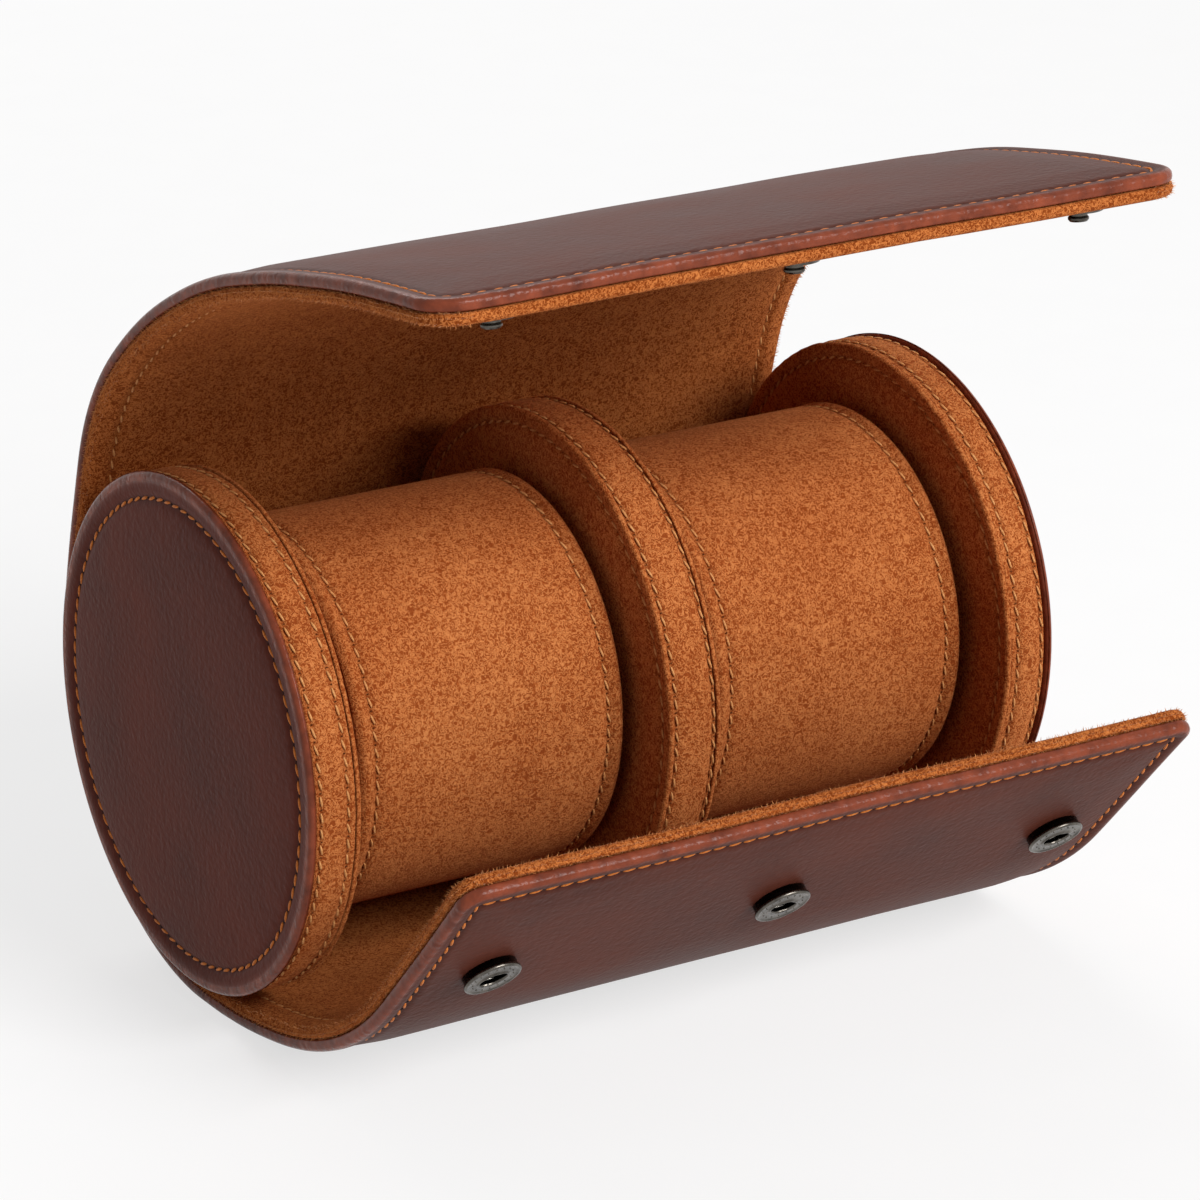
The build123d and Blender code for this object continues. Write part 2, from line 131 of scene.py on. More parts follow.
def stretched(tree, value, start, end, low=0.3, high=0.7):
    """A value between low and high, stretched to run from start to end."""
    return add(tree, "ShaderNodeMapRange", {
        "Value": value, "From Min": low, "From Max": high, "To Min": start, "To Max": end})


def bump(tree, height, strength, distance, **sockets):
    return add(tree, "ShaderNodeBump", {
        "Height": height, "Strength": strength, "Distance": distance, **sockets})


def ramp(tree, factor, *stops):
    """A colour ramp through (position, hex) stops."""
    made = add(tree, "ShaderNodeValToRGB", {"Fac": factor})
    elements = made.color_ramp.elements
    while len(elements) < len(stops):
        elements.new(0.5)
    for element, (position, code) in zip(elements, stops):
        element.position = position
        element.color = colour(code)
    return made


def tagged(tree, name):
    """The value that a piece's own attribute has at a point."""
    return add(tree, "ShaderNodeAttribute", attribute_name=name).outputs["Fac"]


def new_material(name):
    """An empty material, its tree, and the place of a point in it."""
    material = bpy.data.materials.new(name)
    material.use_nodes = True
    tree = material.node_tree
    tree.nodes.clear()
    return material, tree, add(tree, "ShaderNodeTexCoord").outputs["Object"]


def coat(tree, sockets):
    """The shader that all the rest feeds, joined to the material's output."""
    shader = add(tree, "ShaderNodeBsdfPrincipled", sockets)
    add(tree, "ShaderNodeOutputMaterial", {"Surface": shader})


def put(name, data):
    made = bpy.data.objects.new(name, data)
    bpy.context.scene.collection.objects.link(made)
    return made


# %% [markdown]
# ## Leather
#
# The wrap and the outer faces of the end discs are smooth brown cowhide with a pigment
# finish. It has a fine pebbled grain under a satin coat, and its tone wanders a little
# from place to place. Its cut edges are dyed and rubbed until they are round and shiny,
# which makes them redder and glossier than the face, with streaks along them. A float
# attribute called "edge" says how near a point is to a cut edge (1 on it, 0 about 2 mm
# in), and one called "seam" says how near it is to a stitch line, where the leather is
# pulled into a groove and shade is painted into its colour as a near-black brown. Grain
# of 0.4 mm would vanish at this size of picture, so it is drawn at 0.8 mm.

# %% Leather material
GRAIN = 0.8 * MM
TONE_PATCH = 26 * MM
DYE_STREAK = 3 * MM
# Painted shade: the near-black brown that the leather is darkened towards in its stitch grooves.
PAINTED_GROOVE_SHADE = colour("#25120E")


def leather_material(name, dark, light, burnished):
    material, tree, place = new_material(name)
    patches = cloud(tree, place, TONE_PATCH, 4.0, Roughness=0.55)
    cells = add(tree, "ShaderNodeTexVoronoi", {"Vector": place, "Scale": 1 / GRAIN, "Randomness": 1.0},
                feature="SMOOTH_F1")
    pores = cloud(tree, place, GRAIN / 0.6, 3.0)
    face = mixed(tree, 0.22, ramp(tree, patches, (0.3, dark), (0.72, light)),
                 ramp(tree, pores, (0.35, dark), (0.7, light)), "RGBA")
    near_edge, groove_shade_share = tagged(tree, "edge"), tagged(tree, "seam")
    # Painted shade in the stitch grooves, by the seam attribute.
    shaded = mixed(tree, groove_shade_share, face, PAINTED_GROOVE_SHADE, "RGBA")
    dye = ramp(tree, cloud(tree, place, DYE_STREAK, 4.0), (0.25, "#59291B"), (0.7, burnished))
    grain = bump(tree, cells, 0.45, 0.13 * MM)
    coat(tree, {
        "Base Color": mixed(tree, near_edge, shaded, dye, "RGBA"), "IOR": 1.48,
        "Roughness": mixed(tree, near_edge, stretched(tree, patches, 0.42, 0.50), 0.24),
        "Specular IOR Level": mixed(tree, near_edge, 0.05, 0.14),
        "Normal": bump(tree, pores, 0.55, 0.30 * MM, Normal=grain)})
    return material


WRAP_LEATHER = leather_material("pigmented cowhide wrap", "#47231A", "#5E3125", "#86412A")
DISC_LEATHER = leather_material("pigmented cowhide disc", "#4C231A", "#643126", "#86412A")
print("leather grain", GRAIN / MM, "mm")

# %% [markdown]
# ## Suede
#
# The lining, the discs and the cushions are tan split suede: leather brushed until its
# fibres stand up. Suede has no gloss. Its fibres lie in short curled tufts, under a
# millimetre wide, that catch the light differently: thin light crests over a darker
# ground, which the ridges of a distorted noise give. Stroked patches a few centimetres
# across look darker or lighter. Sheen gives the pale rim that the standing fibres show at
# a low angle. Stitch lines press the nap into a groove, and the shade there is painted in
# as a darker tan.

# %% Suede material
TUFT = 0.75 * MM
STROKE = 22 * MM
CREST = 0.13
# Painted shade: the darker tan of the suede in its stitch grooves.
PAINTED_NAP_GROOVE_SHADE = colour("#7A3C16")


def suede_material(name, dark, middle, light):
    material, tree, place = new_material(name)
    strokes = cloud(tree, place, STROKE, 3.0, Distortion=0.4)
    tufts = cloud(tree, place, TUFT, 1.0, Distortion=1.2)
    folded = maths(tree, "ABSOLUTE", maths(tree, "SUBTRACT", tufts, 0.5))
    crests = stretched(tree, folded, 1.0, 0.0, low=0.0, high=CREST)
    flecks = mixed(tree, 0.45, crests, cloud(tree, place, TUFT / 3.5, 2.0, Roughness=0.7))
    face = ramp(tree, mixed(tree, 0.26, flecks, strokes), (0.30, dark), (0.46, middle), (0.72, light))
    # Painted shade: the seam attribute darkens the face in the stitch grooves.
    coat(tree, {
        "Base Color": mixed(tree, tagged(tree, "seam"), face, PAINTED_NAP_GROOVE_SHADE, "RGBA"), "Roughness": 0.95,
        "IOR": 1.45, "Specular IOR Level": 0.10, "Normal": bump(tree, flecks, 0.6, 0.22 * MM),
        "Sheen Weight": 0.22, "Sheen Roughness": 0.4, "Sheen Tint": colour("#E89A60")})
    return material


LINING_SUEDE = suede_material("split suede lining", "#78360F", "#9A5022", "#C0743C")
DISC_SUEDE = suede_material("split suede disc", "#883F18", "#A85A2A", "#CB8049")
CUSHION_SUEDE = suede_material("split suede cushion", "#883F18", "#A85A2A", "#CB8049")
print("suede tufts", TUFT / MM, "mm")

# %% [markdown]
# ## Thread, metal and the hidden layers
#
# The seams are sewn with waxed polyester thread, a strong orange on the leather and a
# paler tan on the suede. Between the stitches, the shade in the needle holes is painted as
# small dark dots. The snaps are steel with a dark gunmetal plating, smooth with fine rub
# marks. The boards and the foam inside never show while the case is whole, but they are
# parts too, so they get their own plain materials: pressed fibreboard, a grey-black
# stiffening sheet and cream foam.

# %% Other materials
DENT_PATCH = 1.8 * MM
RUB_MARK = 0.25 * MM


def fibrous_material(name, dark, light, grain, roughness, strength=0.2, sheen=0.0):
    """Thread, board, foam: a base tone with a fine mottle of the given grain size."""
    material, tree, place = new_material(name)
    mottle = cloud(tree, place, grain, 3.0)
    coat(tree, {"Base Color": ramp(tree, mottle, (0.3, dark), (0.7, light)), "Roughness": roughness,
                "Normal": bump(tree, mottle, strength, 0.3 * grain), "Sheen Weight": sheen,
                "Specular IOR Level": 0.15})
    return material


def plated_material(name, dark, light, roughness):
    """Plated steel: a metal whose gloss varies with fine rub marks."""
    material, tree, place = new_material(name)
    rubs = cloud(tree, place, RUB_MARK, 2.0)
    face = ramp(tree, cloud(tree, place, DENT_PATCH, 4.0), (0.3, dark), (0.7, light))
    coat(tree, {"Base Color": face, "Metallic": 1.0,
                "Roughness": stretched(tree, rubs, roughness - 0.07, roughness + 0.09),
                "Normal": bump(tree, rubs, 0.08, 0.05 * MM)})
    return material


LEATHER_THREAD = fibrous_material("waxed thread on leather", "#B05A20", "#DA8238", 0.35 * MM, 0.5)
SUEDE_THREAD = fibrous_material("waxed thread on suede", "#B87840", "#DCA268", 0.35 * MM, 0.6)
# Painted shade: the dark inside the needle holes, laid on small flat dots.
NEEDLE_HOLE_SHADE = fibrous_material("needle hole in leather", "#160A06", "#26130B", 0.3 * MM, 0.95)
SUEDE_HOLE_SHADE = fibrous_material("needle hole in suede", "#4A210A", "#5E2D10", 0.3 * MM, 0.95)
SUEDE_FIBRE = fibrous_material("loose suede fibre", "#B0652F", "#DC9A5E", 0.5 * MM, 0.9, sheen=0.3)
GUNMETAL = plated_material("gunmetal plated steel", "#45413C", "#6A655E", 0.27)
# Painted dark reflection on the snap drums and painted shade in their wells.
DARK_PAINTED_METAL = plated_material("black nickel drum", "#141210", "#24211E", 0.28)
SPRING_STEEL = plated_material("spring steel wire", "#8A857E", "#A8A39B", 0.26)
FIBREBOARD = fibrous_material("pressed fibreboard", "#8A6A48", "#B08E66", 1.2 * MM, 0.9)
STIFFENER = fibrous_material("stiffening sheet", "#24211F", "#34302D", 0.8 * MM, 0.75)
FOAM = fibrous_material("cream foam", "#D8CFB8", "#EDE6D4", 0.9 * MM, 0.95, strength=0.6)
print("materials:", len(bpy.data.materials))

# %% [markdown]
# ## The line that the wrap follows
#
# Seen from its end, the wrap is one line made of arcs. It starts at the lowest point,
# goes round behind the discs, leaves them and rises into the lid. The other way it leaves
# the discs and rises into the front flap. The arcs below are those of the solids: a
# length, the angle that the sheet turns through over it, and how far the hinge at its
# start stands open, which is spread over 5 mm each side of the hinge. A place on the sheet
# is then two numbers: x across it, and s along it from the lowest line, plus for the lid
# and minus for the flap. The solids' disc gives the place of the common axis.

# %% The wrap's line
low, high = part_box("divider_suede_rim")
AXIS = ((low[1] + high[1]) / 2 / MM, (low[2] + high[2]) / 2 / MM)
RIM_RADIUS = (high[2] - low[2]) / 2 / MM
low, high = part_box("shell_leather")
HALF_WIDTH = (high[0] - low[0]) / 2 / MM
OUTER_RADIUS = 50.05
HUG = 102.0
LID_ARCS = ((OUTER_RADIUS * radians(HUG), HUG, 0), (27, 5, 0), (27, 29, 0), (27, 17, 0), (27, 14, 2),
            (22, 8, 3), (21, 4, 2), (21, 2, 0))
FLAP_ARCS = ((25, 10.5, 0), (45, 38, 1.5), (19, 1, 0), (20, 0, 0))
SPREAD = 5.0
THICKNESS = 5.0


def opened(arcs):
    """Runs of (length, turn): each arc in three, its ends turned back by half an opening."""
    runs = []
    following = [opening for _, _, opening in arcs[1:]] + [0]
    for (length, turn, opening), next_opening in zip(arcs, following):
        share = turn * SPREAD / length
        runs += [(SPREAD, share - opening / 2), (length - 2 * SPREAD, turn - 2 * share),
                 (SPREAD, share - next_opening / 2)]
    return runs


TO_LID = opened(LID_ARCS)
TO_FLAP = opened(FLAP_ARCS)
LID_END = sum(length for length, _ in TO_LID)
FLAP_END = -sum(length for length, _ in TO_FLAP)


def on_line(s):
    """(y, z, heading in radians) of the wrap's outer face at s, about the disc axis."""
    runs = TO_LID if s >= 0 else TO_FLAP
    left = abs(s)
    y, z, heading = 0.0, -OUTER_RADIUS, 0.0
    for number, (length, turn) in enumerate(runs):
        step = min(left, length) if number < len(runs) - 1 else left
        bend = radians(turn) * step / length
        chord = step * (sin(bend / 2) / (bend / 2) if bend else 1.0)
        y += chord * cos(heading + bend / 2)
        z += chord * sin(heading + bend / 2)
        heading += bend
        left -= step
        if left <= 0:
            break
    return (y, z, heading) if s >= 0 else (-y, z, -heading)


def on_sheet(x, s, depth):
    """The point x across and s along the sheet, this deep under its outer face, in metres."""
    y, z, heading = on_line(s)
    y -= sin(heading) * depth
    z += cos(heading) * depth
    return Vector((x * MM, (y + AXIS[0]) * MM, max((z + AXIS[1]) * MM, 0.0)))


def outwards(s):
    """The direction out of the sheet's outer face at s."""
    heading = on_line(s)[2]
    return Vector((0, sin(heading), -cos(heading)))


print("wrap", round(LID_END - FLAP_END, 1), "mm long,", round(2 * HALF_WIDTH, 1), "mm wide")
print("lid edge at", [round(v, 4) for v in on_sheet(0, LID_END, 0)])

# %% [markdown]
# ## How far a point is from the sheet's edge
#
# The outline of the flat sheet is a rectangle with round corners, 7 mm at the lid and
# 4 mm at the flap. The edge is rounded, the stitch line lies 3.4 mm inside it in a shallow
# groove, and inside the stitches the leather swells a little. All of that depends on the
# distance from the edge alone. The grid of the mesh is spaced to suit: its lines are
# close together near the edge, and its corner squares are bent into quarter circles, so
# that every grid line there runs at one distance from the edge.

# %% Outline of the flat sheet
LID_CORNER = 7.0
FLAP_CORNER = 4.0
STITCH_INSET = 3.4
EDGE_STEPS = (0, 0.08, 0.25, 0.5, 0.8, 1.15, 1.6, 2.1, 2.6, 2.95, 3.2, 3.45, 3.75, 4.15, 4.6, 5.1, 5.8,
              6.8, 8.2, 10.0, 12.5)


def spaced(start, end, step):
    """Grid lines from start to end: close together near both edges, else a step apart."""
    inner = EDGE_STEPS[-1]
    count = max(1, round((end - start - 2 * inner) / step))
    middle = [start + inner + (end - start - 2 * inner) * i / count for i in range(1, count)]
    return [start + e for e in EDGE_STEPS] + middle + [end - e for e in reversed(EDGE_STEPS)]


def bent_corner(x, s):
    """A grid point moved so that the outline's corners are round, and its edge distance."""
    corner = LID_CORNER if s > 0 else FLAP_CORNER
    end = LID_END if s > 0 else -FLAP_END
    a = abs(x) - (HALF_WIDTH - corner)
    b = abs(s) - (end - corner)
    if a <= 0 or b <= 0:
        return x, s, min(HALF_WIDTH - abs(x), end - abs(s))
    far = max(a, b)
    scale = far / hypot(a, b)
    x = (HALF_WIDTH - corner + a * scale) * (1 if x > 0 else -1)
    s = (end - corner + b * scale) * (1 if s > 0 else -1)
    return x, s, corner - far


print("edge lines:", len(EDGE_STEPS), "each side")

# %% [markdown]
# ## The wrap, as one surface cut into pieces
#
# The real wrap is one sheet of leather glued to one sheet of suede, and it bends at every
# point. The bodies of the frame are stiff strips. So the whole sheet is worked out here as
# one grid of points, and is then cut across in the middle of each strip. The normals are
# those of the uncut sheet, which hides the cuts. Leather and suede are two layers with a
# thin dark gap between them. The suede is skived, which means pared thinner, towards its
# raw edge.

# %% Relief of the two layers
LEATHER = 2.2
LINING_OUTSIDE = 2.35
GROOVE_WIDTH = 0.75
LINING_STITCH_INSET = 4.6
SKIVED_WIDTH = 4.2
WRAP_EDGE_BAND = 1.4
WAVE_HEIGHT = 0.28
WAVE_LENGTH = 31
NAP_LENGTH = 2.3
HELD_START, HELD_END, HELD_FADE = -22, 112, 14


def smooth(value):
    value = min(1.0, max(0.0, value))
    return value * value * (3 - 2 * value)


def rounding(e, radius):
    """How far a rounded edge falls back at distance e from the outline."""
    return radius - sqrt(max(0.0, radius ** 2 - (radius - e) ** 2)) if e < radius else 0.0


def dip(e, centre, width):
    return exp(-((e - centre) / width) ** 2)


def edge_band(e, width):
    """1 at a cut edge, 0 from this width in."""
    return smooth((width - e) / 0.7)


def free_share(s):
    """0 where the sheet lies on the discs, 1 where it is free of them."""
    return 1.0 - smooth((s - HELD_START) / HELD_FADE) * smooth((HELD_END - s) / HELD_FADE)


def waviness(x, s):
    """Leather never lies perfectly flat: slow waves of a few tenths of a millimetre."""
    return WAVE_HEIGHT * free_share(s) * noise.noise(Vector((x / WAVE_LENGTH, s / WAVE_LENGTH, 7.3)))


def leather_outside(x, s, e):
    swell = 0.35 * smooth((e - 4.0) / 7) + 0.08 * dip(e, 1.9, 0.8)
    return rounding(e, LEATHER / 2) + 0.42 * dip(e, STITCH_INSET, GROOVE_WIDTH) - swell - waviness(x, s)


def leather_inside(x, s, e):
    return LEATHER - rounding(e, 0.8) - waviness(x, s)


def lining_outside(x, s, e):
    return LINING_OUTSIDE + rounding(e, 0.5) - waviness(x, s)


def lining_inside(x, s, e):
    swell = 0.25 * free_share(s) * smooth((e - 5.4) / 7)
    groove = 0.45 * dip(e, LINING_STITCH_INSET, 0.8)
    nap = 0.10 * noise.noise(Vector((x / NAP_LENGTH, s / NAP_LENGTH, 1.7)))
    skived = 0.6 * smooth((SKIVED_WIDTH - e) / SKIVED_WIDTH)
    return THICKNESS - rounding(e, 1.1) - groove - skived + swell - waviness(x, s) - abs(nap)


print("free of the discs at the flap:", free_share(-40), "under them:", free_share(40))

# %% [markdown]
# The pieces run from the flap's free edge to the lid's. Each has where it starts and ends
# along the sheet, the bodies that it goes between, the hinge line, and how far the bend
# reaches each side of that line. The bend is kept short next to the snaps, whose metal
# holds the leather flat.

# %% Pieces of the wrap
Piece = namedtuple("Piece", "name start end parent child hinge reach")
FLAP_BENDS = (9.0, 4.5, 4.5)
LID_BENDS = (11.0, 11.0, 11.0, 9.0, 8.0, 5.5)
HINGE_DEPTH = 1.1


def stations(nodes):
    """The hinges between the ends of a line's runs, and the middles of the runs."""
    return nodes[1:-1], [(a + b) / 2 for a, b in zip(nodes, nodes[1:])]


LID_HINGES, LID_MIDDLES = stations(np.cumsum([length for length, _, _ in LID_ARCS]).tolist())
FLAP_HINGES, FLAP_MIDDLES = stations([0.0, *np.cumsum([-length for length, _, _ in FLAP_ARCS]).tolist()])


def bend(strip, n, start, end, hinge, reach):
    """The piece that spans the hinge between a strip and the one before it."""
    parent = f"{strip}_strip_{n - 1}" if n > 1 else "case_body"
    return Piece(f"{strip}_bend_{n}", start, end, parent, f"{strip}_strip_{n}", hinge, reach)


WRAP_PIECES = [
    Piece("flap_edge", FLAP_END, FLAP_MIDDLES[3], "flap_strip_3", None, 0, 0),
    *(bend("flap", n, FLAP_MIDDLES[n], FLAP_MIDDLES[n - 1], FLAP_HINGES[n - 1], -FLAP_BENDS[n - 1])
      for n in (3, 2, 1)),
    Piece("back_and_base", FLAP_MIDDLES[0], LID_MIDDLES[0], "case_body", None, 0, 0),
    *(bend("lid", n, LID_MIDDLES[n - 1], LID_MIDDLES[n], LID_HINGES[n - 1], LID_BENDS[n - 1])
      for n in (1, 2, 3, 4, 5, 6)),
    Piece("lid_edge", LID_MIDDLES[6], LID_END, "lid_strip_6", None, 0, 0)]


def attach(made, piece):
    """Let an object ride on its piece's body; an object between two bodies is only baked in place."""
    if piece.child is None:
        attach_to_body(made, piece.parent)
    else:
        on_sheet(0, piece.hinge - piece.reach, HINGE_DEPTH)
        on_sheet(0, piece.hinge + piece.reach, HINGE_DEPTH)
        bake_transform(made)


COLUMNS = spaced(-HALF_WIDTH, HALF_WIDTH, 4.5)
ROWS = sorted(set(spaced(FLAP_END, LID_END, 2.2)) | {piece.start for piece in WRAP_PIECES})
print("pieces of the wrap:", len(WRAP_PIECES), "grid:", len(COLUMNS), "x", len(ROWS))

# %% [markdown]
# The grid has an outer and an inner sheet of points that meet in one line of points along
# the edge. A piece takes its rows of both sheets, and gets a flat wall at each cut.

# %% Points and faces of a layer


def layer_points(outside, inside):
    """The points of one layer, their distances from the edge, and their numbers by place."""
    points, distances, number = [], [], {}
    for j, row in enumerate(ROWS):
        for i, column in enumerate(COLUMNS):
            x, s, e = bent_corner(column, row)
            e = e if e > 1e-6 else 0.0
            depths = [outside(x, s, e), inside(x, s, e)]
            if e == 0.0:
                depths = [sum(depths) / 2]
            number["in", i, j] = len(points) + len(depths) - 1
            number["out", i, j] = len(points)
            points += [on_sheet(x, s, depth) for depth in depths]
            distances += [e] * len(depths)
    return points, distances, number


def without_repeats(face):
    return [v for k, v in enumerate(face) if v != face[k - 1]]


def whole_faces(faces):
    """The faces that still have three corners once repeated points are left out."""
    return [face for face in map(without_repeats, faces) if len(face) > 2]


def layer_faces(number, first, last):
    """Faces between two rows: the outer sheet, then the inner one the other way round."""
    faces = []
    for j in range(first, last):
        for i in range(len(COLUMNS) - 1):
            corners = ((i, j), (i, j + 1), (i + 1, j + 1), (i + 1, j))
            faces.append([number["out", a, b] for a, b in corners])
            faces.append([number["in", a, b] for a, b in reversed(corners)])
    return whole_faces(faces)


def cut_wall(number, row, way):
    """The wall across a cut, between the outer and the inner sheet."""
    corners = (("out", 0), ("out", 1), ("in", 1), ("in", 0))
    return whole_faces([[number[side, i + on, row] for side, on in corners][::way]
                        for i in range(len(COLUMNS) - 1)])


print("points on one side of a layer:", len(COLUMNS) * len(ROWS))

# %% [markdown]
# Each piece could work out its own normals, but then a crease would show at every cut. So
# they are worked out once for the whole layer, and a piece takes over those of its points.
# It also gets the two attributes that the leather and the suede read: how near a point is
# to a cut edge, and how much painted shade it takes in the groove along a stitch line.

# %% Normals, attributes and pieces


def area_normals(points, faces):
    """Unit normals of the points of a mesh, from the areas of the faces round them."""
    sums = [Vector((0, 0, 0)) for _ in points]
    for face in faces:
        area = (points[face[2]] - points[face[0]]).cross(points[face[-1]] - points[face[1]])
        for v in face:
            sums[v] += area
    return [total.normalized() for total in sums]


def tag_points(mesh, tags):
    """Give each point of a mesh its value of every tag."""
    for key, values in tags.items():
        mesh.attributes.new(key, "FLOAT", "POINT").data.foreach_set("value", values)


def piece_mesh(name, points, normals, faces, walls, material, tags):
    """A mesh whose main faces have the given normals and whose walls are flat."""
    used = sorted({v for face in faces for v in face})
    renumber = {v: k for k, v in enumerate(used)}
    source = used + [v for wall in walls for v in wall]
    all_faces = [[renumber[v] for v in face] for face in faces]
    start = len(used)
    for wall in walls:
        all_faces.append(list(range(start, start + len(wall))))
        start += len(wall)
    mesh = bpy.data.meshes.new(name)
    mesh.from_pydata([points[v] for v in source], [], all_faces)
    mesh.materials.append(material)
    tag_points(mesh, {key: [values[v] for v in source] for key, values in tags.items()})
    corners = []
    for polygon in mesh.polygons:
        polygon.use_smooth = polygon.index < len(faces)
        flat = polygon.normal.copy()
        corners += [normals[source[v]] if polygon.use_smooth else flat for v in polygon.vertices]
    mesh.normals_split_custom_set(corners)
    return put(name, mesh)


def build_layer(layer, outside, inside, material, seam_inset, seam_tone):
    """All the pieces of one layer of the wrap, by name."""
    points, distances, number = layer_points(outside, inside)
    last_row = len(ROWS) - 1
    normals = area_normals(points, layer_faces(number, 0, last_row))
    # The seam tag is painted shade, strongest in the stitch groove.
    tags = {"edge": [edge_band(e, WRAP_EDGE_BAND) for e in distances],
            "seam": [seam_tone * dip(e, seam_inset, 0.5) for e in distances]}
    made = {}
    for piece in WRAP_PIECES:
        first, last = ROWS.index(piece.start), ROWS.index(piece.end)
        walls = cut_wall(number, first, 1) if first > 0 else []
        walls += cut_wall(number, last, -1) if last < last_row else []
        faces = layer_faces(number, first, last)
        made[piece.name] = piece_mesh(f"{layer}_{piece.name}", points, normals, faces, walls, material, tags)
    return made


LEATHER_PIECES = build_layer("wrap_leather", leather_outside, leather_inside, WRAP_LEATHER,
                             STITCH_INSET, 0.7)
LINING_PIECES = build_layer("wrap_lining", lining_outside, lining_inside, LINING_SUEDE,
                            LINING_STITCH_INSET, 0.5)
print("wrap faces:", sum(len(p.data.polygons) for p in (*LEATHER_PIECES.values(), *LINING_PIECES.values())))

# %% [markdown]
# ## Stitches
#
# Every seam on the case is the same thing over and over: a short oval of thread, a little
# slanted, that dips into a needle hole at both ends. That is work for Geometry Nodes. The
# tree below takes points that carry two directions, along the seam and out of the surface,
# and puts a thread and a dark dot of painted hole shade on each of them. It makes them real
# meshes at the end, because the export drops instances. A thread has a few dozen faces.

# %% Nodes for the trees


def new_tree(name, numbers, materials):
    """An empty tree that takes points and named inputs, and what it is given."""
    tree = bpy.data.node_groups.new(name, "GeometryNodeTree")
    inputs = [("Points", "Geometry"), *((label, "Float") for label in numbers), ("Seed", "Int"),
              *((label, "Material") for label in materials)]
    for label, kind in inputs:
        tree.interface.new_socket(label, in_out="INPUT", socket_type=f"NodeSocket{kind}")
    tree.interface.new_socket("Made", in_out="OUTPUT", socket_type="NodeSocketGeometry")
    return tree, add(tree, "NodeGroupInput").outputs


def direction(tree, name):
    return add(tree, "GeometryNodeInputNamedAttribute", {"Name": name}, data_type="FLOAT_VECTOR")


def aligned(tree, vector, axis, pivot="AUTO", **sockets):
    """The rotation that points an axis along a direction."""
    return add(tree, "FunctionNodeAlignRotationToVector", {"Vector": vector, **sockets}, axis=axis,
               pivot_axis=pivot)


def rotated(tree, rotation, turn):
    return add(tree, "FunctionNodeRotateRotation", {"Rotation": rotation, "Rotate By": turn},
               rotation_space="LOCAL")


def by_chance(tree, least, most, seed, kind="FLOAT"):
    return add(tree, "FunctionNodeRandomValue", {"Min": least, "Max": most, "Seed": seed}, data_type=kind)


def in_material(tree, geometry, material):
    return add(tree, "GeometryNodeSetMaterial", {"Geometry": geometry, "Material": material})


# %% [markdown]
# A thread is a stretched ball, and a hole is a flattened dark ball of painted shade, half a
# pitch further along.
# The thread is turned by its slant and by a little chance, within the seam's wander.

# %% Stitch tree


def stitch_tree():
    tree, given = new_tree("Stitch row", ("Length", "Width", "Pitch", "Slant", "Wander"), ("Thread", "Hole"))
    along = direction(tree, "along")
    facing = aligned(tree, direction(tree, "out"), "Z", pivot="X", Rotation=aligned(tree, along, "X"))
    chance = by_chance(tree, maths(tree, "MULTIPLY", given["Wander"], -1.0), given["Wander"], given["Seed"])
    turn = add(tree, "FunctionNodeAxisAngleToRotation", {
        "Axis": (0.0, 0.0, 1.0), "Angle": maths(tree, "ADD", given["Slant"], chance)})
    ball = add(tree, "GeometryNodeMeshUVSphere", {"Segments": 8, "Rings": 6, "Radius": 0.5})
    width = given["Width"]
    size = add(tree, "ShaderNodeCombineXYZ", {"X": given["Length"], "Y": width, "Z": width})
    thread = add(tree, "GeometryNodeTransform", {"Geometry": ball, "Scale": size})
    threads = add(tree, "GeometryNodeInstanceOnPoints", {
        "Points": given["Points"], "Instance": in_material(tree, thread, given["Thread"]),
        "Rotation": rotated(tree, facing, turn)})
    half = maths(tree, "MULTIPLY", given["Pitch"], 0.5)
    ahead = add(tree, "ShaderNodeVectorMath", {0: along, "Scale": half}, operation="SCALE")
    shifted = add(tree, "GeometryNodeSetPosition", {"Geometry": given["Points"], "Offset": ahead})
    # The hole is a flat dark dot: painted shade in the needle hole.
    dot = add(tree, "GeometryNodeMeshIcoSphere", {"Radius": 0.5, "Subdivisions": 1})
    wide, flat = (maths(tree, "MULTIPLY", width, share) for share in (0.8, 0.35))
    dot_size = add(tree, "ShaderNodeCombineXYZ", {"X": wide, "Y": wide, "Z": flat})
    hole = add(tree, "GeometryNodeTransform", {"Geometry": dot, "Scale": dot_size})
    holes = add(tree, "GeometryNodeInstanceOnPoints", {
        "Points": shifted, "Instance": in_material(tree, hole, given["Hole"]), "Rotation": facing})
    both = add(tree, "GeometryNodeJoinGeometry", {"Geometry": threads})
    tree.links.new(holes.outputs[0], both.inputs[0])
    real = add(tree, "GeometryNodeRealizeInstances", {"Geometry": both})
    add(tree, "NodeGroupOutput", {"Made": add(tree, "GeometryNodeSetShadeSmooth", {"Geometry": real})})
    return tree


STITCHES = stitch_tree()
print("stitch tree nodes:", len(STITCHES.nodes))

# %% [markdown]
# A row of stitches starts as bare points. The modifier's inputs are set by the
# identifiers of the tree's sockets, the result is taken as a plain mesh, and the object
# with the modifier is removed, so nothing live is left on the finished piece.

# %% Make a row of stitches
PITCH = 2.85
KINDS = {
    "leather": {"Length": 2.45 * MM, "Width": 0.60 * MM, "Slant": 0.20, "Thread": LEATHER_THREAD,
                "Hole": NEEDLE_HOLE_SHADE},
    "suede": {"Length": 2.05 * MM, "Width": 0.44 * MM, "Slant": 0.24, "Thread": SUEDE_THREAD,
              "Hole": SUEDE_HOLE_SHADE},
}


def plain_mesh(made):
    """An object's mesh as its modifiers leave it."""
    graph = bpy.context.evaluated_depsgraph_get()
    return bpy.data.meshes.new_from_object(made.evaluated_get(graph), depsgraph=graph)


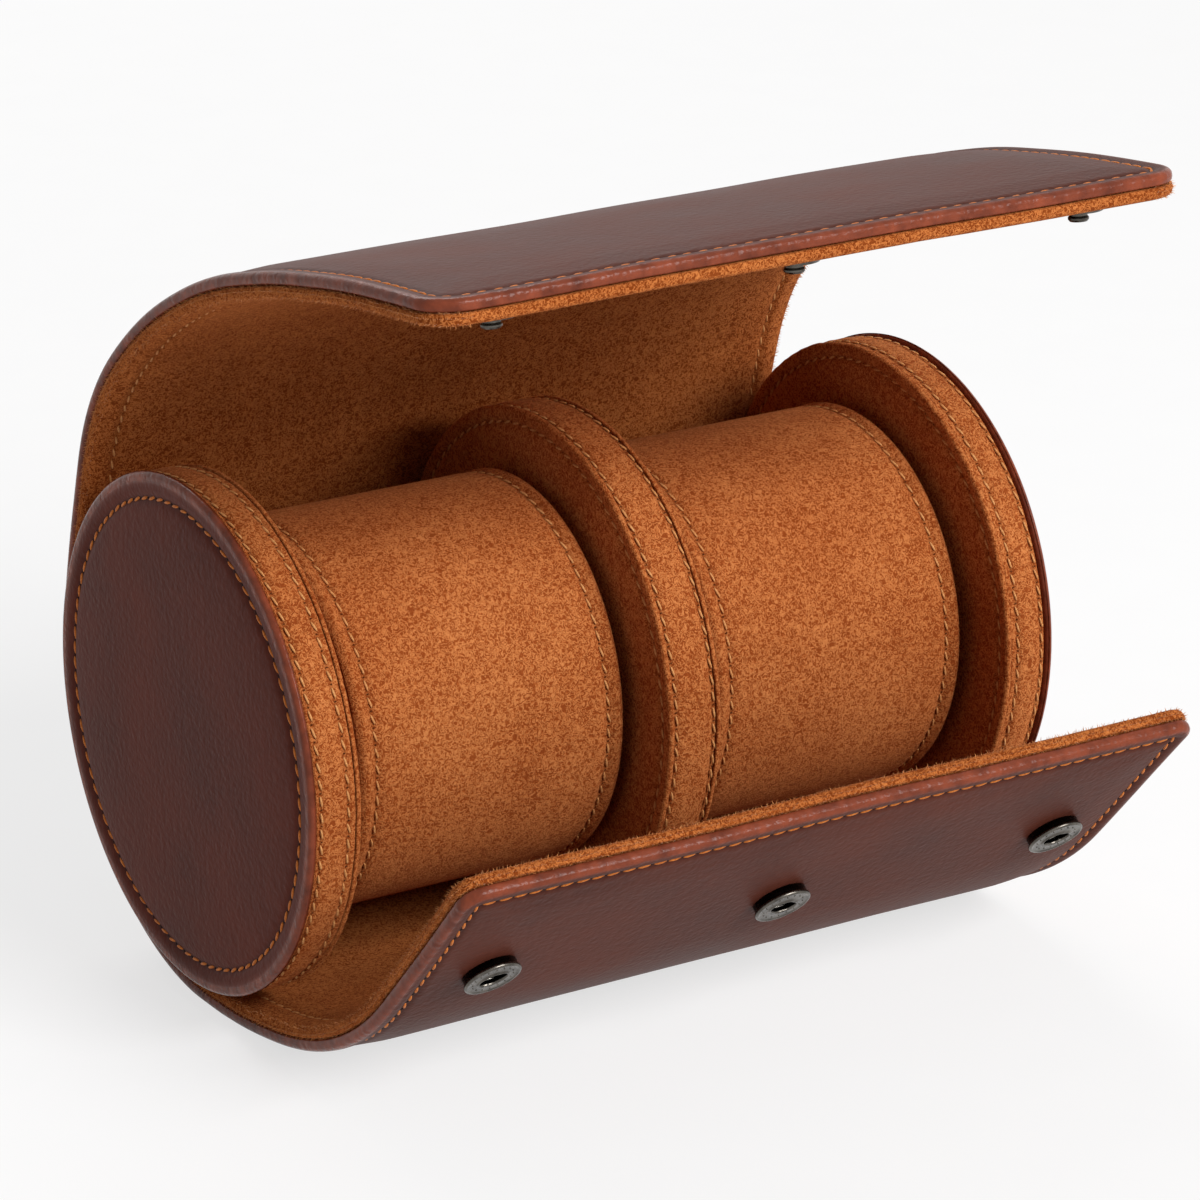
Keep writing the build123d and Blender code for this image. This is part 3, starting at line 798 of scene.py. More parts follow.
def grow(name, places, tree, values):
    """The mesh that a tree makes on (point, along, out) places, with its named inputs set."""
    base = bpy.data.meshes.new(name + "_points")
    base.from_pydata([point for point, _, _ in places], [], [])
    for key, column in (("along", 1), ("out", 2)):
        data = base.attributes.new(key, "FLOAT_VECTOR", "POINT").data
        data.foreach_set("vector", [number for place in places for number in place[column]])
    holder = put(name + "_points", base)
    modifier = holder.modifiers.new("Grown", "NODES")
    modifier.node_group = tree
    for item in tree.interface.items_tree:
        if item.in_out == "INPUT" and item.name in values:
            modifier[item.identifier] = values[item.name]
    holder.update_tag()
    mesh = plain_mesh(holder)
    mesh.name = name
    bpy.data.objects.remove(holder)
    return put(name, mesh)


def stitch_row(name, places, kind, seed=1):
    """A mesh of stitches on (point, along, out) places."""
    return grow(name, places, STITCHES, {"Pitch": PITCH * MM, "Wander": 0.09, "Seed": seed, **KINDS[kind]})


print("stitch pitch", PITCH, "mm")

# %% [markdown]
# The seam of the wrap runs round the flat sheet at one distance from its outline. Points
# are laid close together along that line first, and every so many millimetres one of them
# becomes a stitch, so that a whole number of stitches goes round. The lining shows no
# seam where the discs cover it.

# %% Stitches of the wrap
UNDER_DISCS = (-14, 104)
FLOOR_GAP = 0.45 * MM


def outline_path(inset, step=0.25):
    """Close points along the flat sheet's outline, this far inside it, in order."""
    corners = ((1, LID_END, LID_CORNER), (-1, LID_END, LID_CORNER), (-1, FLAP_END, FLAP_CORNER),
               (1, FLAP_END, FLAP_CORNER))
    path = []
    for k, (side, end, corner) in enumerate(corners):
        radius = max(corner - inset, 0.8)
        centre_x = side * (HALF_WIDTH - inset - radius)
        centre_s = end - (inset + radius) * (1 if end > 0 else -1)
        for degree in range(0, 91, 10):
            turn = radians(90 * k + degree)
            path.append((centre_x + radius * cos(turn), centre_s + radius * sin(turn)))
    fine = []
    for (x0, s0), (x1, s1) in zip(path, path[1:] + path[:1]):
        count = max(1, round(hypot(x1 - x0, s1 - s0) / step))
        fine += [(x0 + (x1 - x0) * i / count, s0 + (s1 - s0) * i / count) for i in range(count)]
    return fine


def evenly(path, pitch):
    """Pick points along a closed path, a whole number of pitches round it, each with one ahead."""
    lengths = [hypot(b[0] - a[0], b[1] - a[1]) for a, b in zip(path, path[1:] + path[:1])]
    total = sum(lengths)
    count = round(total / pitch)
    picked, run, k = [], 0.0, 0
    for n in range(count):
        while run + lengths[k] < total * n / count:
            run += lengths[k]
            k += 1
        picked.append((path[k], path[(k + 2) % len(path)]))
    return picked


def wrap_stitches(layer, inset, relief, side, kind, bare=(0, 0)):
    """The seam round the wrap, cut up as the wrap is. None goes where the case stands on it."""
    places = []
    for (x, s), (x_on, s_on) in evenly(outline_path(inset), PITCH):
        depth = relief(x, s, inset)
        point = on_sheet(x, s, depth)
        along = (on_sheet(x_on, s_on, depth) - point).normalized()
        if point.z > FLOOR_GAP and not bare[0] < s < bare[1]:
            places.append((s, (point, along, outwards(s) * side)))
    made = {}
    for piece in WRAP_PIECES:
        chosen = [place for s, place in places if piece.start <= s < piece.end]
        if chosen:
            made[piece.name] = stitch_row(f"{layer}_{piece.name}", chosen, kind, seed=len(made) + 1)
    return made


LEATHER_SEAM = wrap_stitches("leather_seam", STITCH_INSET, leather_outside, 1, "leather")
LINING_SEAM = wrap_stitches("lining_seam", LINING_STITCH_INSET, lining_inside, -1, "suede", bare=UNDER_DISCS)
print("seam pieces:", len(LEATHER_SEAM), len(LINING_SEAM))

# %% [markdown]
# The suede of the lining is cut raw, so short fibres stand out all along its edge. A second
# tree grows them: a thin cone on each point, leaning a little at random off the direction
# that the point carries. The points lie on the rounded edge of the lining, a few per
# millimetre, and none are put where the case stands on the floor.

# %% Fibres along the raw edge
FIBRE_STEP = 0.3
FIBRE_FLOOR_GAP = 1.0 * MM
FIBRE = {"Length": 0.62 * MM, "Width": 0.07 * MM, "Lean": 0.6, "Fibre": SUEDE_FIBRE}


def fibre_tree():
    tree, given = new_tree("Suede fibres", ("Length", "Width", "Lean"), ("Fibre",))
    less = maths(tree, "MULTIPLY", given["Lean"], -1.0)
    low = add(tree, "ShaderNodeCombineXYZ", {"X": less, "Y": less, "Z": -3.0})
    high = add(tree, "ShaderNodeCombineXYZ", {"X": given["Lean"], "Y": given["Lean"], "Z": 3.0})
    lean = add(tree, "FunctionNodeEulerToRotation", {
        "Euler": by_chance(tree, low, high, given["Seed"], "FLOAT_VECTOR")})
    cone = add(tree, "GeometryNodeMeshCone", {
        "Vertices": 3, "Radius Top": 0.0, "Radius Bottom": given["Width"], "Depth": given["Length"]},
        fill_type="NGON")
    grown = add(tree, "GeometryNodeInstanceOnPoints", {
        "Points": given["Points"], "Instance": in_material(tree, cone, given["Fibre"]),
        "Rotation": rotated(tree, aligned(tree, direction(tree, "out"), "Z"), lean),
        "Scale": by_chance(tree, 0.45, 1.25, given["Seed"])})
    add(tree, "NodeGroupOutput", {"Made": add(tree, "GeometryNodeRealizeInstances", {"Geometry": grown})})
    return tree


def edge_places():
    """(s, place) of each fibre: one on the edge itself and one on each side of it, all along."""
    chance = np.random.default_rng(11)
    path = outline_path(0.0, step=FIBRE_STEP)
    places = []
    for (x, s), (x_on, s_on) in zip(path, path[1:] + path[:1]):
        step = max(hypot(x_on - x, s_on - s), 1e-6)
        out_x, out_s = (s_on - s) / step, -(x_on - x) / step
        for side in (-1, 0, 1):
            e = 0.02 if side == 0 else chance.uniform(0.1, 0.75)
            at_x, at_s = x - out_x * e, s - out_s * e
            if side == 0:
                depth = (lining_outside(x, s, 0) + lining_inside(x, s, 0)) / 2
            else:
                depth = (lining_outside if side < 0 else lining_inside)(at_x, at_s, e)
            point = on_sheet(at_x, at_s, depth)
            if point.z >= FIBRE_FLOOR_GAP:
                flat = (on_sheet(at_x + out_x, at_s + out_s, depth) - point).normalized()
                lean = outwards(s) * -side * (0.25 + 0.75 * e)
                places.append((s, (point, flat, (flat + lean).normalized())))
    return places


FIBRES = fibre_tree()
EDGE_FIBRES = {}
spots = edge_places()
for number, piece in enumerate(WRAP_PIECES):
    chosen = [place for s, place in spots if piece.start <= s < piece.end]
    if chosen:
        values = {**FIBRE, "Seed": number}
        EDGE_FIBRES[piece.name] = grow(f"lining_fibres_{piece.name}", chosen, FIBRES, values)
print("fibres:", len(spots))

# %% [markdown]
# Now the pieces of the wrap that ride on one body are fixed to it, and those that span a
# hinge are baked in place. Each strip of the solids is replaced by the piece that spans
# the hinge at its start.

# %% Attach the wrap
for piece in WRAP_PIECES:
    name = piece.name
    for family in (LEATHER_PIECES, LINING_PIECES, LEATHER_SEAM, LINING_SEAM, EDGE_FIBRES):
        if name in family:
            attach(family[name], piece)
    strip, _, number = name.rpartition("_bend_")
    if name == "back_and_base" or number.isdigit():
        start, end = ("shell", "") if name == "back_and_base" else (strip, "_" + number)
        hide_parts(f"{start}_leather{end}")
        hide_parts(f"{start}_lining{end}")
print("wrap attached")

# %% [markdown]
# ## Turned pieces
#
# The discs, the cushions and the snap sockets are round, so each is a row of rings joined
# by faces. A ring of one point is a pole, so the poles are closed. The discs are turned
# from an outline: points with a place along the axis, a radius, how near the point is to a
# cut edge, and how much painted shade it takes in the groove of a seam. Small uneven spots
# in the radius keep the suede from looking machined.

# %% Turn an outline
CENTRE = Vector((0, AXIS[0] * MM, AXIS[1] * MM))


def around(x, radius, turn, centre=CENTRE):
    """The point x along an axis through the centre, at this radius and angle."""
    return centre + Vector((x, radius * cos(turn), radius * sin(turn))) * MM


def turns_of(steps):
    return [2 * pi * k / steps for k in range(steps)]


def ring_mesh(name, rings):
    """A mesh over rings of points, the last one joined to the first unless both are poles."""
    steps = max(map(len, rings))
    numbers, start = [], 0
    for ring in rings:
        numbers.append([start + k % len(ring) for k in range(steps)])
        start += len(ring)
    faces = [[a[k], a[(k + 1) % steps], b[(k + 1) % steps], b[k]]
             for a, b in zip(numbers, numbers[1:] + numbers[:1]) for k in range(steps)]
    mesh = bpy.data.meshes.new(name)
    mesh.from_pydata([point for ring in rings for point in ring], [], whole_faces(faces))
    return mesh


def close_up(mesh, extra=None):
    """Merge doubles, turn all faces outwards and shade them smooth."""
    work = bmesh.new()
    work.from_mesh(mesh)
    if extra:
        extra(work)
    bmesh.ops.remove_doubles(work, verts=work.verts, dist=1e-7)
    bmesh.ops.recalc_face_normals(work, faces=work.faces)
    work.to_mesh(mesh)
    work.free()
    mesh.shade_smooth()


def turned(name, outline, material, steps=224, uneven=lambda x, radius, turn: 0.0):
    """A closed surface round the disc axis from (x, radius, edge, seam) points in mm."""
    rings = [[around(x, radius + uneven(x, radius, turn), turn)
              for turn in turns_of(steps if radius > 0 else 1)] for x, radius, _, _ in outline]
    mesh = ring_mesh(name, rings)
    mesh.materials.append(material)
    for key, column in (("edge", 2), ("seam", 3)):
        tag_points(mesh, {key: [row[column] for row, ring in zip(outline, rings) for _ in ring]})
    close_up(mesh)
    return put(name, mesh)


def round_seam(name, x, radius, kind, seed, face=0):
    """A ring of stitches on a rim, or on a flat face that looks along the axis, 1 or -1."""
    places = []
    for turn in turns_of(round(2 * pi * radius / PITCH)):
        outward = Vector((0, cos(turn), sin(turn)))
        places.append((around(x, radius, turn), Vector((0, -sin(turn), cos(turn))),
                       Vector((face, 0, 0)) if face else outward))
    return stitch_row(name, places, kind, seed=seed)


# %% [markdown]
# ## Discs
#
# An end disc is a leather face over a thin pad, a band of suede round its rim and a suede
# face on the inside. The leather face is flat for 6 mm at its edge, where it is sewn, and
# swells inside the stitches. The rim band is sewn along both its edges and bulges a
# little between. The right disc is the left one mirrored, so one function makes both, and
# the mirrored mesh gets its normals worked out afresh when it is closed up.

# %% Outlines of the discs
LENGTH = 2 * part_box("right_end_leather_face")[1][0] / MM
DISC_RADIUS = RIM_RADIUS + 0.3
DISC_WIDTH = 10.2
BOARD_DEPTH = 1.95
JOINT_DEPTH = 9.35
RIM_ROW_DEPTHS = (2.8, 7.8)
FLAT_RADIUS = 38.9
DISC_EDGE_BAND = 2.3
FACE_STITCHES = 40.4
INNER_STITCHES = RIM_RADIUS - 2.8
RIM_SEAM = RIM_RADIUS - 0.25
FACE_SINK = 0.32
FACE_RADII = (*(3 * k for k in range(9)), *(24.8 + 0.8 * k for k in range(18)), 38.9, 39.3, 39.6, 39.9, 40.2,
              40.4, 40.6, 40.9, 41.2, 41.6, 42.2, 42.9, 43.5, 43.9, 44.2, 44.5, 44.75, 44.92, 45.0)
FACE_BACK = ((1.42, 44.96, 1, 0), (1.62, 44.8, 1, 0), (1.78, 44.54, 1, 0), (1.87, 44.1, 0.8, 0),
             (1.88, 38.5, 0, 0), (1.8, 30, 0, 0), (1.55, 18, 0, 0), (1.33, 0, 0, 0))


def face_swell(r):
    """How far in from the case's end the leather face lies at radius r."""
    dome = 0.5 * min(1.0, r / FLAT_RADIUS) ** 7
    return dome + 0.55 * dip(r, FACE_STITCHES, 0.9) + rounding(DISC_RADIUS - r, 1.0)


def leather_face(side):
    """The outside of an end disc, turned from its middle to its edge and back."""
    # The last value is painted shade in the groove of the face stitches.
    front = [(face_swell(r), r, edge_band(DISC_RADIUS - r, DISC_EDGE_BAND), 0.7 * dip(r, FACE_STITCHES, 0.5))
             for r in FACE_RADII]
    return [(side * (LENGTH / 2 - x), r, edge, seam) for x, r, edge, seam in (*front, *FACE_BACK)]


def rim_uneven(x, radius, turn):
    if radius <= 42:
        return 0.0
    place = Vector((x, radius * cos(turn), radius * sin(turn))) / 2
    return 0.16 * noise.noise(place) + 0.25 * noise.noise(place * 0.12)


def suede_band(start, end, rows, count=30):
    """The rim band's outline between two x places, with its stitch rows pressed in."""
    outline = []
    for k in range(count + 1):
        x = start + (end - start) * k / count
        near = min(x - start, end - x)
        press = sum(0.32 * dip(x, row, 0.5) for row in rows)
        # Painted shade in the pressed stitch grooves of the rim band.
        dark = sum(0.35 * dip(x, row, 0.4) for row in rows)
        bulge = 0.30 * smooth(near / 3)
        outline.append((x, RIM_RADIUS - 0.30 + bulge - rounding(near, 0.5) - press, 0, min(1, dark)))
    return outline + [(end, RIM_RADIUS - 1.6, 0, 0), (start, RIM_RADIUS - 1.6, 0, 0)]


def suede_face(inner, outer):
    """A thin suede face from x = outer (against the board) to inner (the side that shows)."""
    way = 1 if inner > outer else -1
    outline = [(outer, 0, 0, 0), (outer, RIM_RADIUS - 0.6, 0, 0)]
    for gap, back in ((0.15, 0.95), (0.0, 0.7), (0.05, 0.4), (0.25, 0.15), (0.55, 0.02), (0.9, 0.0)):
        outline.append((inner - way * back, RIM_RADIUS - gap, 0, 0))
    r = RIM_RADIUS - 1.3
    while r > 0:
        # The last value is painted shade in the groove of the inner stitches.
        outline.append((inner - way * 0.35 * dip(r, INNER_STITCHES, 0.65), r, 0,
                        0.4 * dip(r, INNER_STITCHES, 0.45)))
        r -= 0.25 if abs(r - INNER_STITCHES) < 2.2 else 2.6
    return outline + [(inner, 0, 0, 0)]


print("end discs", DISC_WIDTH, "mm thick, case", round(LENGTH, 1), "mm long")

# %% [markdown]
# The outlines are turned into pieces, each piece takes the place of its solid, and the
# stitch rows are laid into the grooves that the outlines have for them.

# %% End discs
DISC_PIECES = []


def disc_piece(name, outline, material, solid, slot, **more):
    """Turn one piece of a disc, which takes the place of its solid."""
    made = turned(name, outline, material, **more)
    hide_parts(solid)
    DISC_PIECES.append(made)


def disc_suede(name, outline, solid):
    disc_piece(name, outline, DISC_SUEDE, solid, "suede_disc", uneven=rim_uneven)


def disc_seam(name, x, radius, kind, seed, face=0):
    DISC_PIECES.append(round_seam(name, x, radius, kind, seed, face))


for label, side in (("left", -1), ("right", 1)):
    inner, board, joint = (side * (LENGTH / 2 - depth) for depth in (DISC_WIDTH, BOARD_DEPTH, JOINT_DEPTH))
    rows = [side * (LENGTH / 2 - depth) for depth in RIM_ROW_DEPTHS]
    disc_piece(f"{label}_end_face", leather_face(side), DISC_LEATHER, f"{label}_end_leather_face",
               "disc_leather")
    disc_suede(f"{label}_end_rim", suede_band(min(board, joint), max(board, joint), rows),
               f"{label}_end_suede_rim")
    disc_suede(f"{label}_end_inside", suede_face(inner, joint), f"{label}_end_suede_face")
    disc_seam(f"{label}_end_face_seam", side * (LENGTH / 2 - face_swell(FACE_STITCHES)), FACE_STITCHES,
              "leather", 11, face=side)
    for k, row in enumerate(rows):
        disc_seam(f"{label}_end_rim_seam_{k + 1}", row, RIM_SEAM, "suede", 12 + k)
    disc_seam(f"{label}_end_inside_seam", inner + side * FACE_SINK, INNER_STITCHES, "suede", 15, face=-side)
print("pieces of the end discs:", len(DISC_PIECES))

# %% [markdown]
# The divider is covered in suede all over: a rim band and a face on each side.

# %% Divider
DIVIDER_HALF = 5.2
DIVIDER_BOARD = DIVIDER_HALF - 0.85
DIVIDER_ROW = 3.7
disc_suede("divider_rim", suede_band(-DIVIDER_BOARD, DIVIDER_BOARD, (-DIVIDER_ROW, DIVIDER_ROW)),
           "divider_suede_rim")
for label, side in (("left", -1), ("right", 1)):
    disc_suede(f"divider_{label}_side", suede_face(side * DIVIDER_HALF, side * DIVIDER_BOARD),
               f"divider_{label}_face")
    disc_seam(f"divider_rim_seam_{label}", side * DIVIDER_ROW, RIM_SEAM, "suede", 21)
    disc_seam(f"divider_{label}_side_seam", side * (DIVIDER_HALF - FACE_SINK), INNER_STITCHES, "suede", 22,
              face=side)
for made in DISC_PIECES:
    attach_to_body(made, "case_body")
print("disc pieces:", len(DISC_PIECES))

# %% [markdown]
# ## Cushions
#
# A cushion is a sleeve of suede over soft foam, with a round end sewn in at each side. The
# foam presses the suede out, so the sides are full and slightly uneven and the ends are
# crowned. That fullness comes from a cloth simulation: a slightly small drum is remeshed,
# blown up from inside for twenty frames, and its movement is capped. The result is a
# coarse net, so a clean drum with close rings near the seams is then laid onto it: each
# of its points is put where a ray from inside meets the simulated skin. The sewn channel,
# its puckers and the rolled end come last, because the remesh would wipe them out. In the
# photo both cushions sit hard to the right in their compartments, with a gap on the left,
# so the skin is a little shorter than the space of its solid and lies at its right, and
# so does the foam in it.

# %% Simulate the skin of a cushion
CUSHION_RADIUS = 34.3
CUSHION_HALF = 25.7
CUSHION_SHIFT = 1.8
CUSHION_CROWN = 1.6
CUSHION_INSET = 3.3
SKIN_PLAY = 0.7
NET = 4 * MM
FRAMES = 20
PRESSURE = 4.0
MOVE_CAP = 1.4 * MM
LUMP, LUMP_LENGTH = 0.35 * MM, 16 * MM


def drum_mesh(name, radius, half, steps=96, rings=12):
    """A plain closed drum about X at the origin, its rim rounded."""
    end = [(half, radius * f) for f in (0.93, 0.75, 0.5, 0.25, 0.0)]
    side = [(half * (2 * k / rings - 1), radius) for k in range(1, rings)]
    outline = [*((-x, r) for x, r in reversed(end)), (1.2 - half, radius), *side, (half - 1.2, radius), *end]
    mesh = ring_mesh(name, [[around(x, r, turn, Vector()) for turn in turns_of(steps if r else 1)]
                            for x, r in outline])
    close_up(mesh)
    return mesh


def blow_up(body):
    """Remesh a body, press it out from inside for some frames, and cap how far it moved."""
    remesh = body.modifiers.new("Even net", "REMESH")
    remesh.mode = "VOXEL"
    remesh.voxel_size = NET
    net = plain_mesh(body)
    body.modifiers.clear()
    body.data = net
    start = [v.co.copy() for v in net.vertices]
    cloth = body.modifiers.new("Cloth", "CLOTH")
    cloth.settings.use_pressure = True
    cloth.settings.uniform_pressure_force = PRESSURE
    cloth.settings.tension_stiffness = 18.0
    cloth.settings.compression_stiffness = 18.0
    cloth.settings.bending_stiffness = 2.0
    cloth.settings.effector_weights.gravity = 0.0
    cloth.point_cache.frame_start, cloth.point_cache.frame_end = 1, FRAMES
    for frame_number in range(1, FRAMES + 1):
        bpy.context.scene.frame_set(frame_number)
    blown = plain_mesh(body)
    body.modifiers.clear()
    steps = [vertex.co - first for vertex, first in zip(blown.vertices, start)]
    for vertex, first, step in zip(blown.vertices, start, steps):
        if step.length > MOVE_CAP:
            vertex.co = first + step.normalized() * MOVE_CAP
    body.data = blown
    print(body.name, "moved up to", round(max(step.length for step in steps) / MM, 2), "mm before the cap")
    bpy.context.scene.frame_set(1)


def simulated_skin(name, seed):
    """The skin of a stuffed drum after a short inflation, as a BVH tree in metres about its middle."""
    mesh = drum_mesh(name, CUSHION_RADIUS - SKIN_PLAY, CUSHION_HALF - SKIN_PLAY)
    for vertex in mesh.vertices:
        lump = LUMP * noise.noise(Vector(vertex.co) / LUMP_LENGTH + Vector((seed, 0, 0)))
        vertex.co += Vector((0, vertex.co.y, vertex.co.z)).normalized() * lump
    body = put(name, mesh)
    blow_up(body)
    work = bmesh.new()
    work.from_mesh(body.data)
    bmesh.ops.subdivide_edges(work, edges=work.edges, cuts=1, use_grid_fill=True, smooth=0.6)
    tree = BVHTree.FromBMesh(work)
    work.free()
    bpy.data.objects.remove(body)
    return tree


# %% [markdown]
# The clean drum has three parts: the sleeve, which runs over the rolled end and a little
# way in, and two sewn-in ends. Its radius is the simulated one plus the relief of the
# seams. Limits on both keep it clear of the discs and inside the space of its solid.

# %% Lay a clean drum onto the skin
SLEEVE_STEPS = (0.0, 0.15, 0.4, 0.8, 1.2, 1.7, 2.1, 2.5, 2.8, 3.05, 3.3, 3.55, 3.8, 4.1, 4.5, 5.2, 6.2,
                7.6, 9.6)
SLEEVE_SPANS = 18
END_RADII = (33.1, 32.4, 31.2, 29.0, 25.0, 19.0, 12.0, 6.0)
CUSHION_TURNS = turns_of(360)
PUCKERS = round(2 * pi * CUSHION_RADIUS / PITCH)


def sleeve_relief(x, turn):
    """The sewn channel, its puckers and the rolled end, in mm of radius."""
    near = CUSHION_HALF - abs(x)
    pucker = 0.07 * sin(turn * PUCKERS) * dip(near, CUSHION_INSET, 2.0)
    roll = 0.22 * dip(near, 1.5, 0.8)
    return -0.5 * dip(near, CUSHION_INSET, 0.75) + pucker + roll - rounding(near, 1.5)


def skin_radius(tree, x, turn):
    inside = Vector((max(-CUSHION_HALF + 4, min(CUSHION_HALF - 4, x)) * MM, 0, 0))
    hit = tree.ray_cast(inside, Vector((0, cos(turn), sin(turn))))[0]
    found = hypot(hit.y, hit.z) / MM if hit else CUSHION_RADIUS
    return max(CUSHION_RADIUS - 0.15, min(CUSHION_RADIUS + 0.5, found))


def crown(tree, r, turn, side):
    """How far the sewn-in end stands out at radius r."""
    hit = tree.ray_cast(around(0, r, turn, Vector()), Vector((side, 0, 0)))[0]
    skin = abs(hit.x) / MM - CUSHION_HALF if hit else 0.0
    full = CUSHION_CROWN * (1 - (r / (CUSHION_RADIUS - 2)) ** 2)
    return min(CUSHION_CROWN, 0.75 * full + 0.25 * max(0.0, min(CUSHION_CROWN, skin + 1.0)))


print("puckers round a cushion:", PUCKERS)

# %% [markdown]
# Rings are now laid from the middle of one end, out to the sleeve, along it and in again
# to the middle of the other end. The foam inside is a plain drum.

# %% Cushions


def end_rings(tree, side):
    """(ring, seam) rows of a sewn-in end, from the sleeve to its middle."""
    rows = []
    for r in END_RADII:
        start = CUSHION_HALF - 0.55 * smooth((r - 30.8) / 1.6)
        ring = [(side * (start + crown(tree, r, turn, side) * (r < 31)), r) for turn in CUSHION_TURNS]
        # Painted shade where the sewn-in end turns into the rolled seam.
        rows.append((ring, 0.8 * smooth((r - 30.0) / 2)))
    return rows + [([(side * (CUSHION_HALF + CUSHION_CROWN), 0.0)], 0.0)]


def sleeve_rings(tree):
    """(ring, seam) rows of the sleeve: close near the seams and at the rolled ends."""
    inner = CUSHION_HALF - SLEEVE_STEPS[-1]
    places = [-CUSHION_HALF + e for e in SLEEVE_STEPS]
    places += [-inner + 2 * inner * k / SLEEVE_SPANS for k in range(1, SLEEVE_SPANS)]
    places += [CUSHION_HALF - e for e in reversed(SLEEVE_STEPS)]
    # The second value is painted shade in the sewn channel.
    return [([(x, skin_radius(tree, x, turn) + sleeve_relief(x, turn)) for turn in CUSHION_TURNS],
             0.45 * dip(CUSHION_HALF - abs(x), CUSHION_INSET, 0.4)) for x in places]


def cushion(label, x_middle, seed):
    """The skin of one cushion, with a row of stitches near each end."""
    tree = simulated_skin(f"{label}_cushion_skin", seed)
    middle = CENTRE + Vector((x_middle * MM, 0, 0))
    rows = [*reversed(end_rings(tree, -1)), *sleeve_rings(tree), *end_rings(tree, 1)]
    rings = [[around(x, r, turn, middle) for (x, r), turn in zip(ring, CUSHION_TURNS)] for ring, _ in rows]
    mesh = ring_mesh(f"{label}_cushion", rings)
    mesh.materials.append(CUSHION_SUEDE)
    tag_points(mesh, {"seam": [seam for ring, seam in rows for _ in ring]})
    close_up(mesh)
    made = put(f"{label}_cushion_suede", mesh)
    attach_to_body(made, f"{label}_cushion")
    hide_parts(f"{label}_cushion_cover", f"{label}_cushion_end_caps")
    for end, side in (("left", -1), ("right", 1)):
        row = round_seam(f"{label}_cushion_seam_{end}", x_middle + side * (CUSHION_HALF - CUSHION_INSET),
                         CUSHION_RADIUS - 0.42, "suede", seed)
        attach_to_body(row, f"{label}_cushion")
    return made


def foam_core(label, x_middle):
    """The foam inside, which only shows when the skin is taken off."""
    rim, end = CUSHION_RADIUS - 1.2, CUSHION_HALF - 1.2
    outline = [(x_middle + x, r, 0, 0) for x, r in ((-end, 0), (-end, rim), (end, rim), (end, 0))]
    made = turned(f"{label}_cushion_foam", outline, FOAM, steps=96)
    made.data.shade_flat()
    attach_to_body(made, f"{label}_cushion")
    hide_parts(f"{label}_cushion_core")


low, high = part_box("left_cushion_core")
CUSHION_OFFSET = -(low[0] + high[0]) / 2 / MM
for label, side, seed in (("left", -1, 3), ("right", 1, 8)):
    made = cushion(label, side * CUSHION_OFFSET + CUSHION_SHIFT, seed)
    foam_core(label, side * CUSHION_OFFSET + CUSHION_SHIFT)
    print(made.name, "faces", len(made.data.polygons))

# %% [markdown]
# ## Snap fasteners
#
# A snap socket is a low drum that carries a wider flat face. The drum's side and the well
# inside the opening are near-black metal: painted dark reflection on the side, painted shade
# in the well. The stud goes in through an opening in the middle, which is wider at its two
# ends, where the arms of a wire spring run. The face has a polished, rounded rim, the opening
# has a raised lip, and a ring of small dots stands between them. The outline of the hole is
# worked out by angle, so the face is a net between a round rim and a hole of that shape. The
# three sockets are one mesh, each set with its opening turned a little its own way.

# %% Snap sockets
SOCKET_ROWS = ((4.7, 0.0), (4.7, 1.35), (4.74, 1.46), (4.86, 1.58), (4.97, 1.68), (5.0, 1.84), (5.0, 2.0),
               (4.94, 2.15), (4.82, 2.25), (4.66, 2.29), (4.5, 2.28), (4.38, 2.22), (4.28, 2.17), (3.8, 2.16),
               (3.2, 2.16), (2.95, 2.18))
LIP_ROWS = ((0.50, 2.20), (0.42, 2.30), (0.28, 2.36), (0.12, 2.33), (0.02, 2.22), (0.0, 2.0), (0.0, 1.5),
            (0.5, 1.45), (0.6, 0.5))
DRUM_ROWS = 3
WELL_ROWS = 4
WAIST, LOBE, REACH = 1.75, 1.4, 1.0
SOCKET_STEPS = 72
SNAP_PITCH = 55.85
SNAP_PLACE = FLAP_END + 30.0
SNAP_SPINS = (0.35, -0.2, 0.12)
DOT_COUNT = 16
DOT_RING = 3.6
DOT_SIZE = 0.34
DOT_HEIGHT = 2.12


def hole_radius(turn):
    """The radius of the socket's opening: a round hole with a lobe at each end."""
    under = LOBE ** 2 - (REACH * sin(turn)) ** 2
    lobe = REACH * abs(cos(turn)) + sqrt(under) if under > 0 else 0.0
    return min(max(WAIST, lobe), REACH + LOBE)


def socket_rings():
    """One socket about Z, in mm, from the pole under it to the pole in its dark well."""
    rings = [[(0.0, 0.0, SOCKET_ROWS[0][1])]]
    for radius, height, hole in [(*row, 0) for row in SOCKET_ROWS] + [(*row, 1) for row in LIP_ROWS]:
        radii = [(turn, radius + hole * hole_radius(turn)) for turn in turns_of(SOCKET_STEPS)]
        rings.append([(r * cos(turn), r * sin(turn), height) for turn, r in radii])
    return rings + [[(0.0, 0.0, LIP_ROWS[-1][1])]]


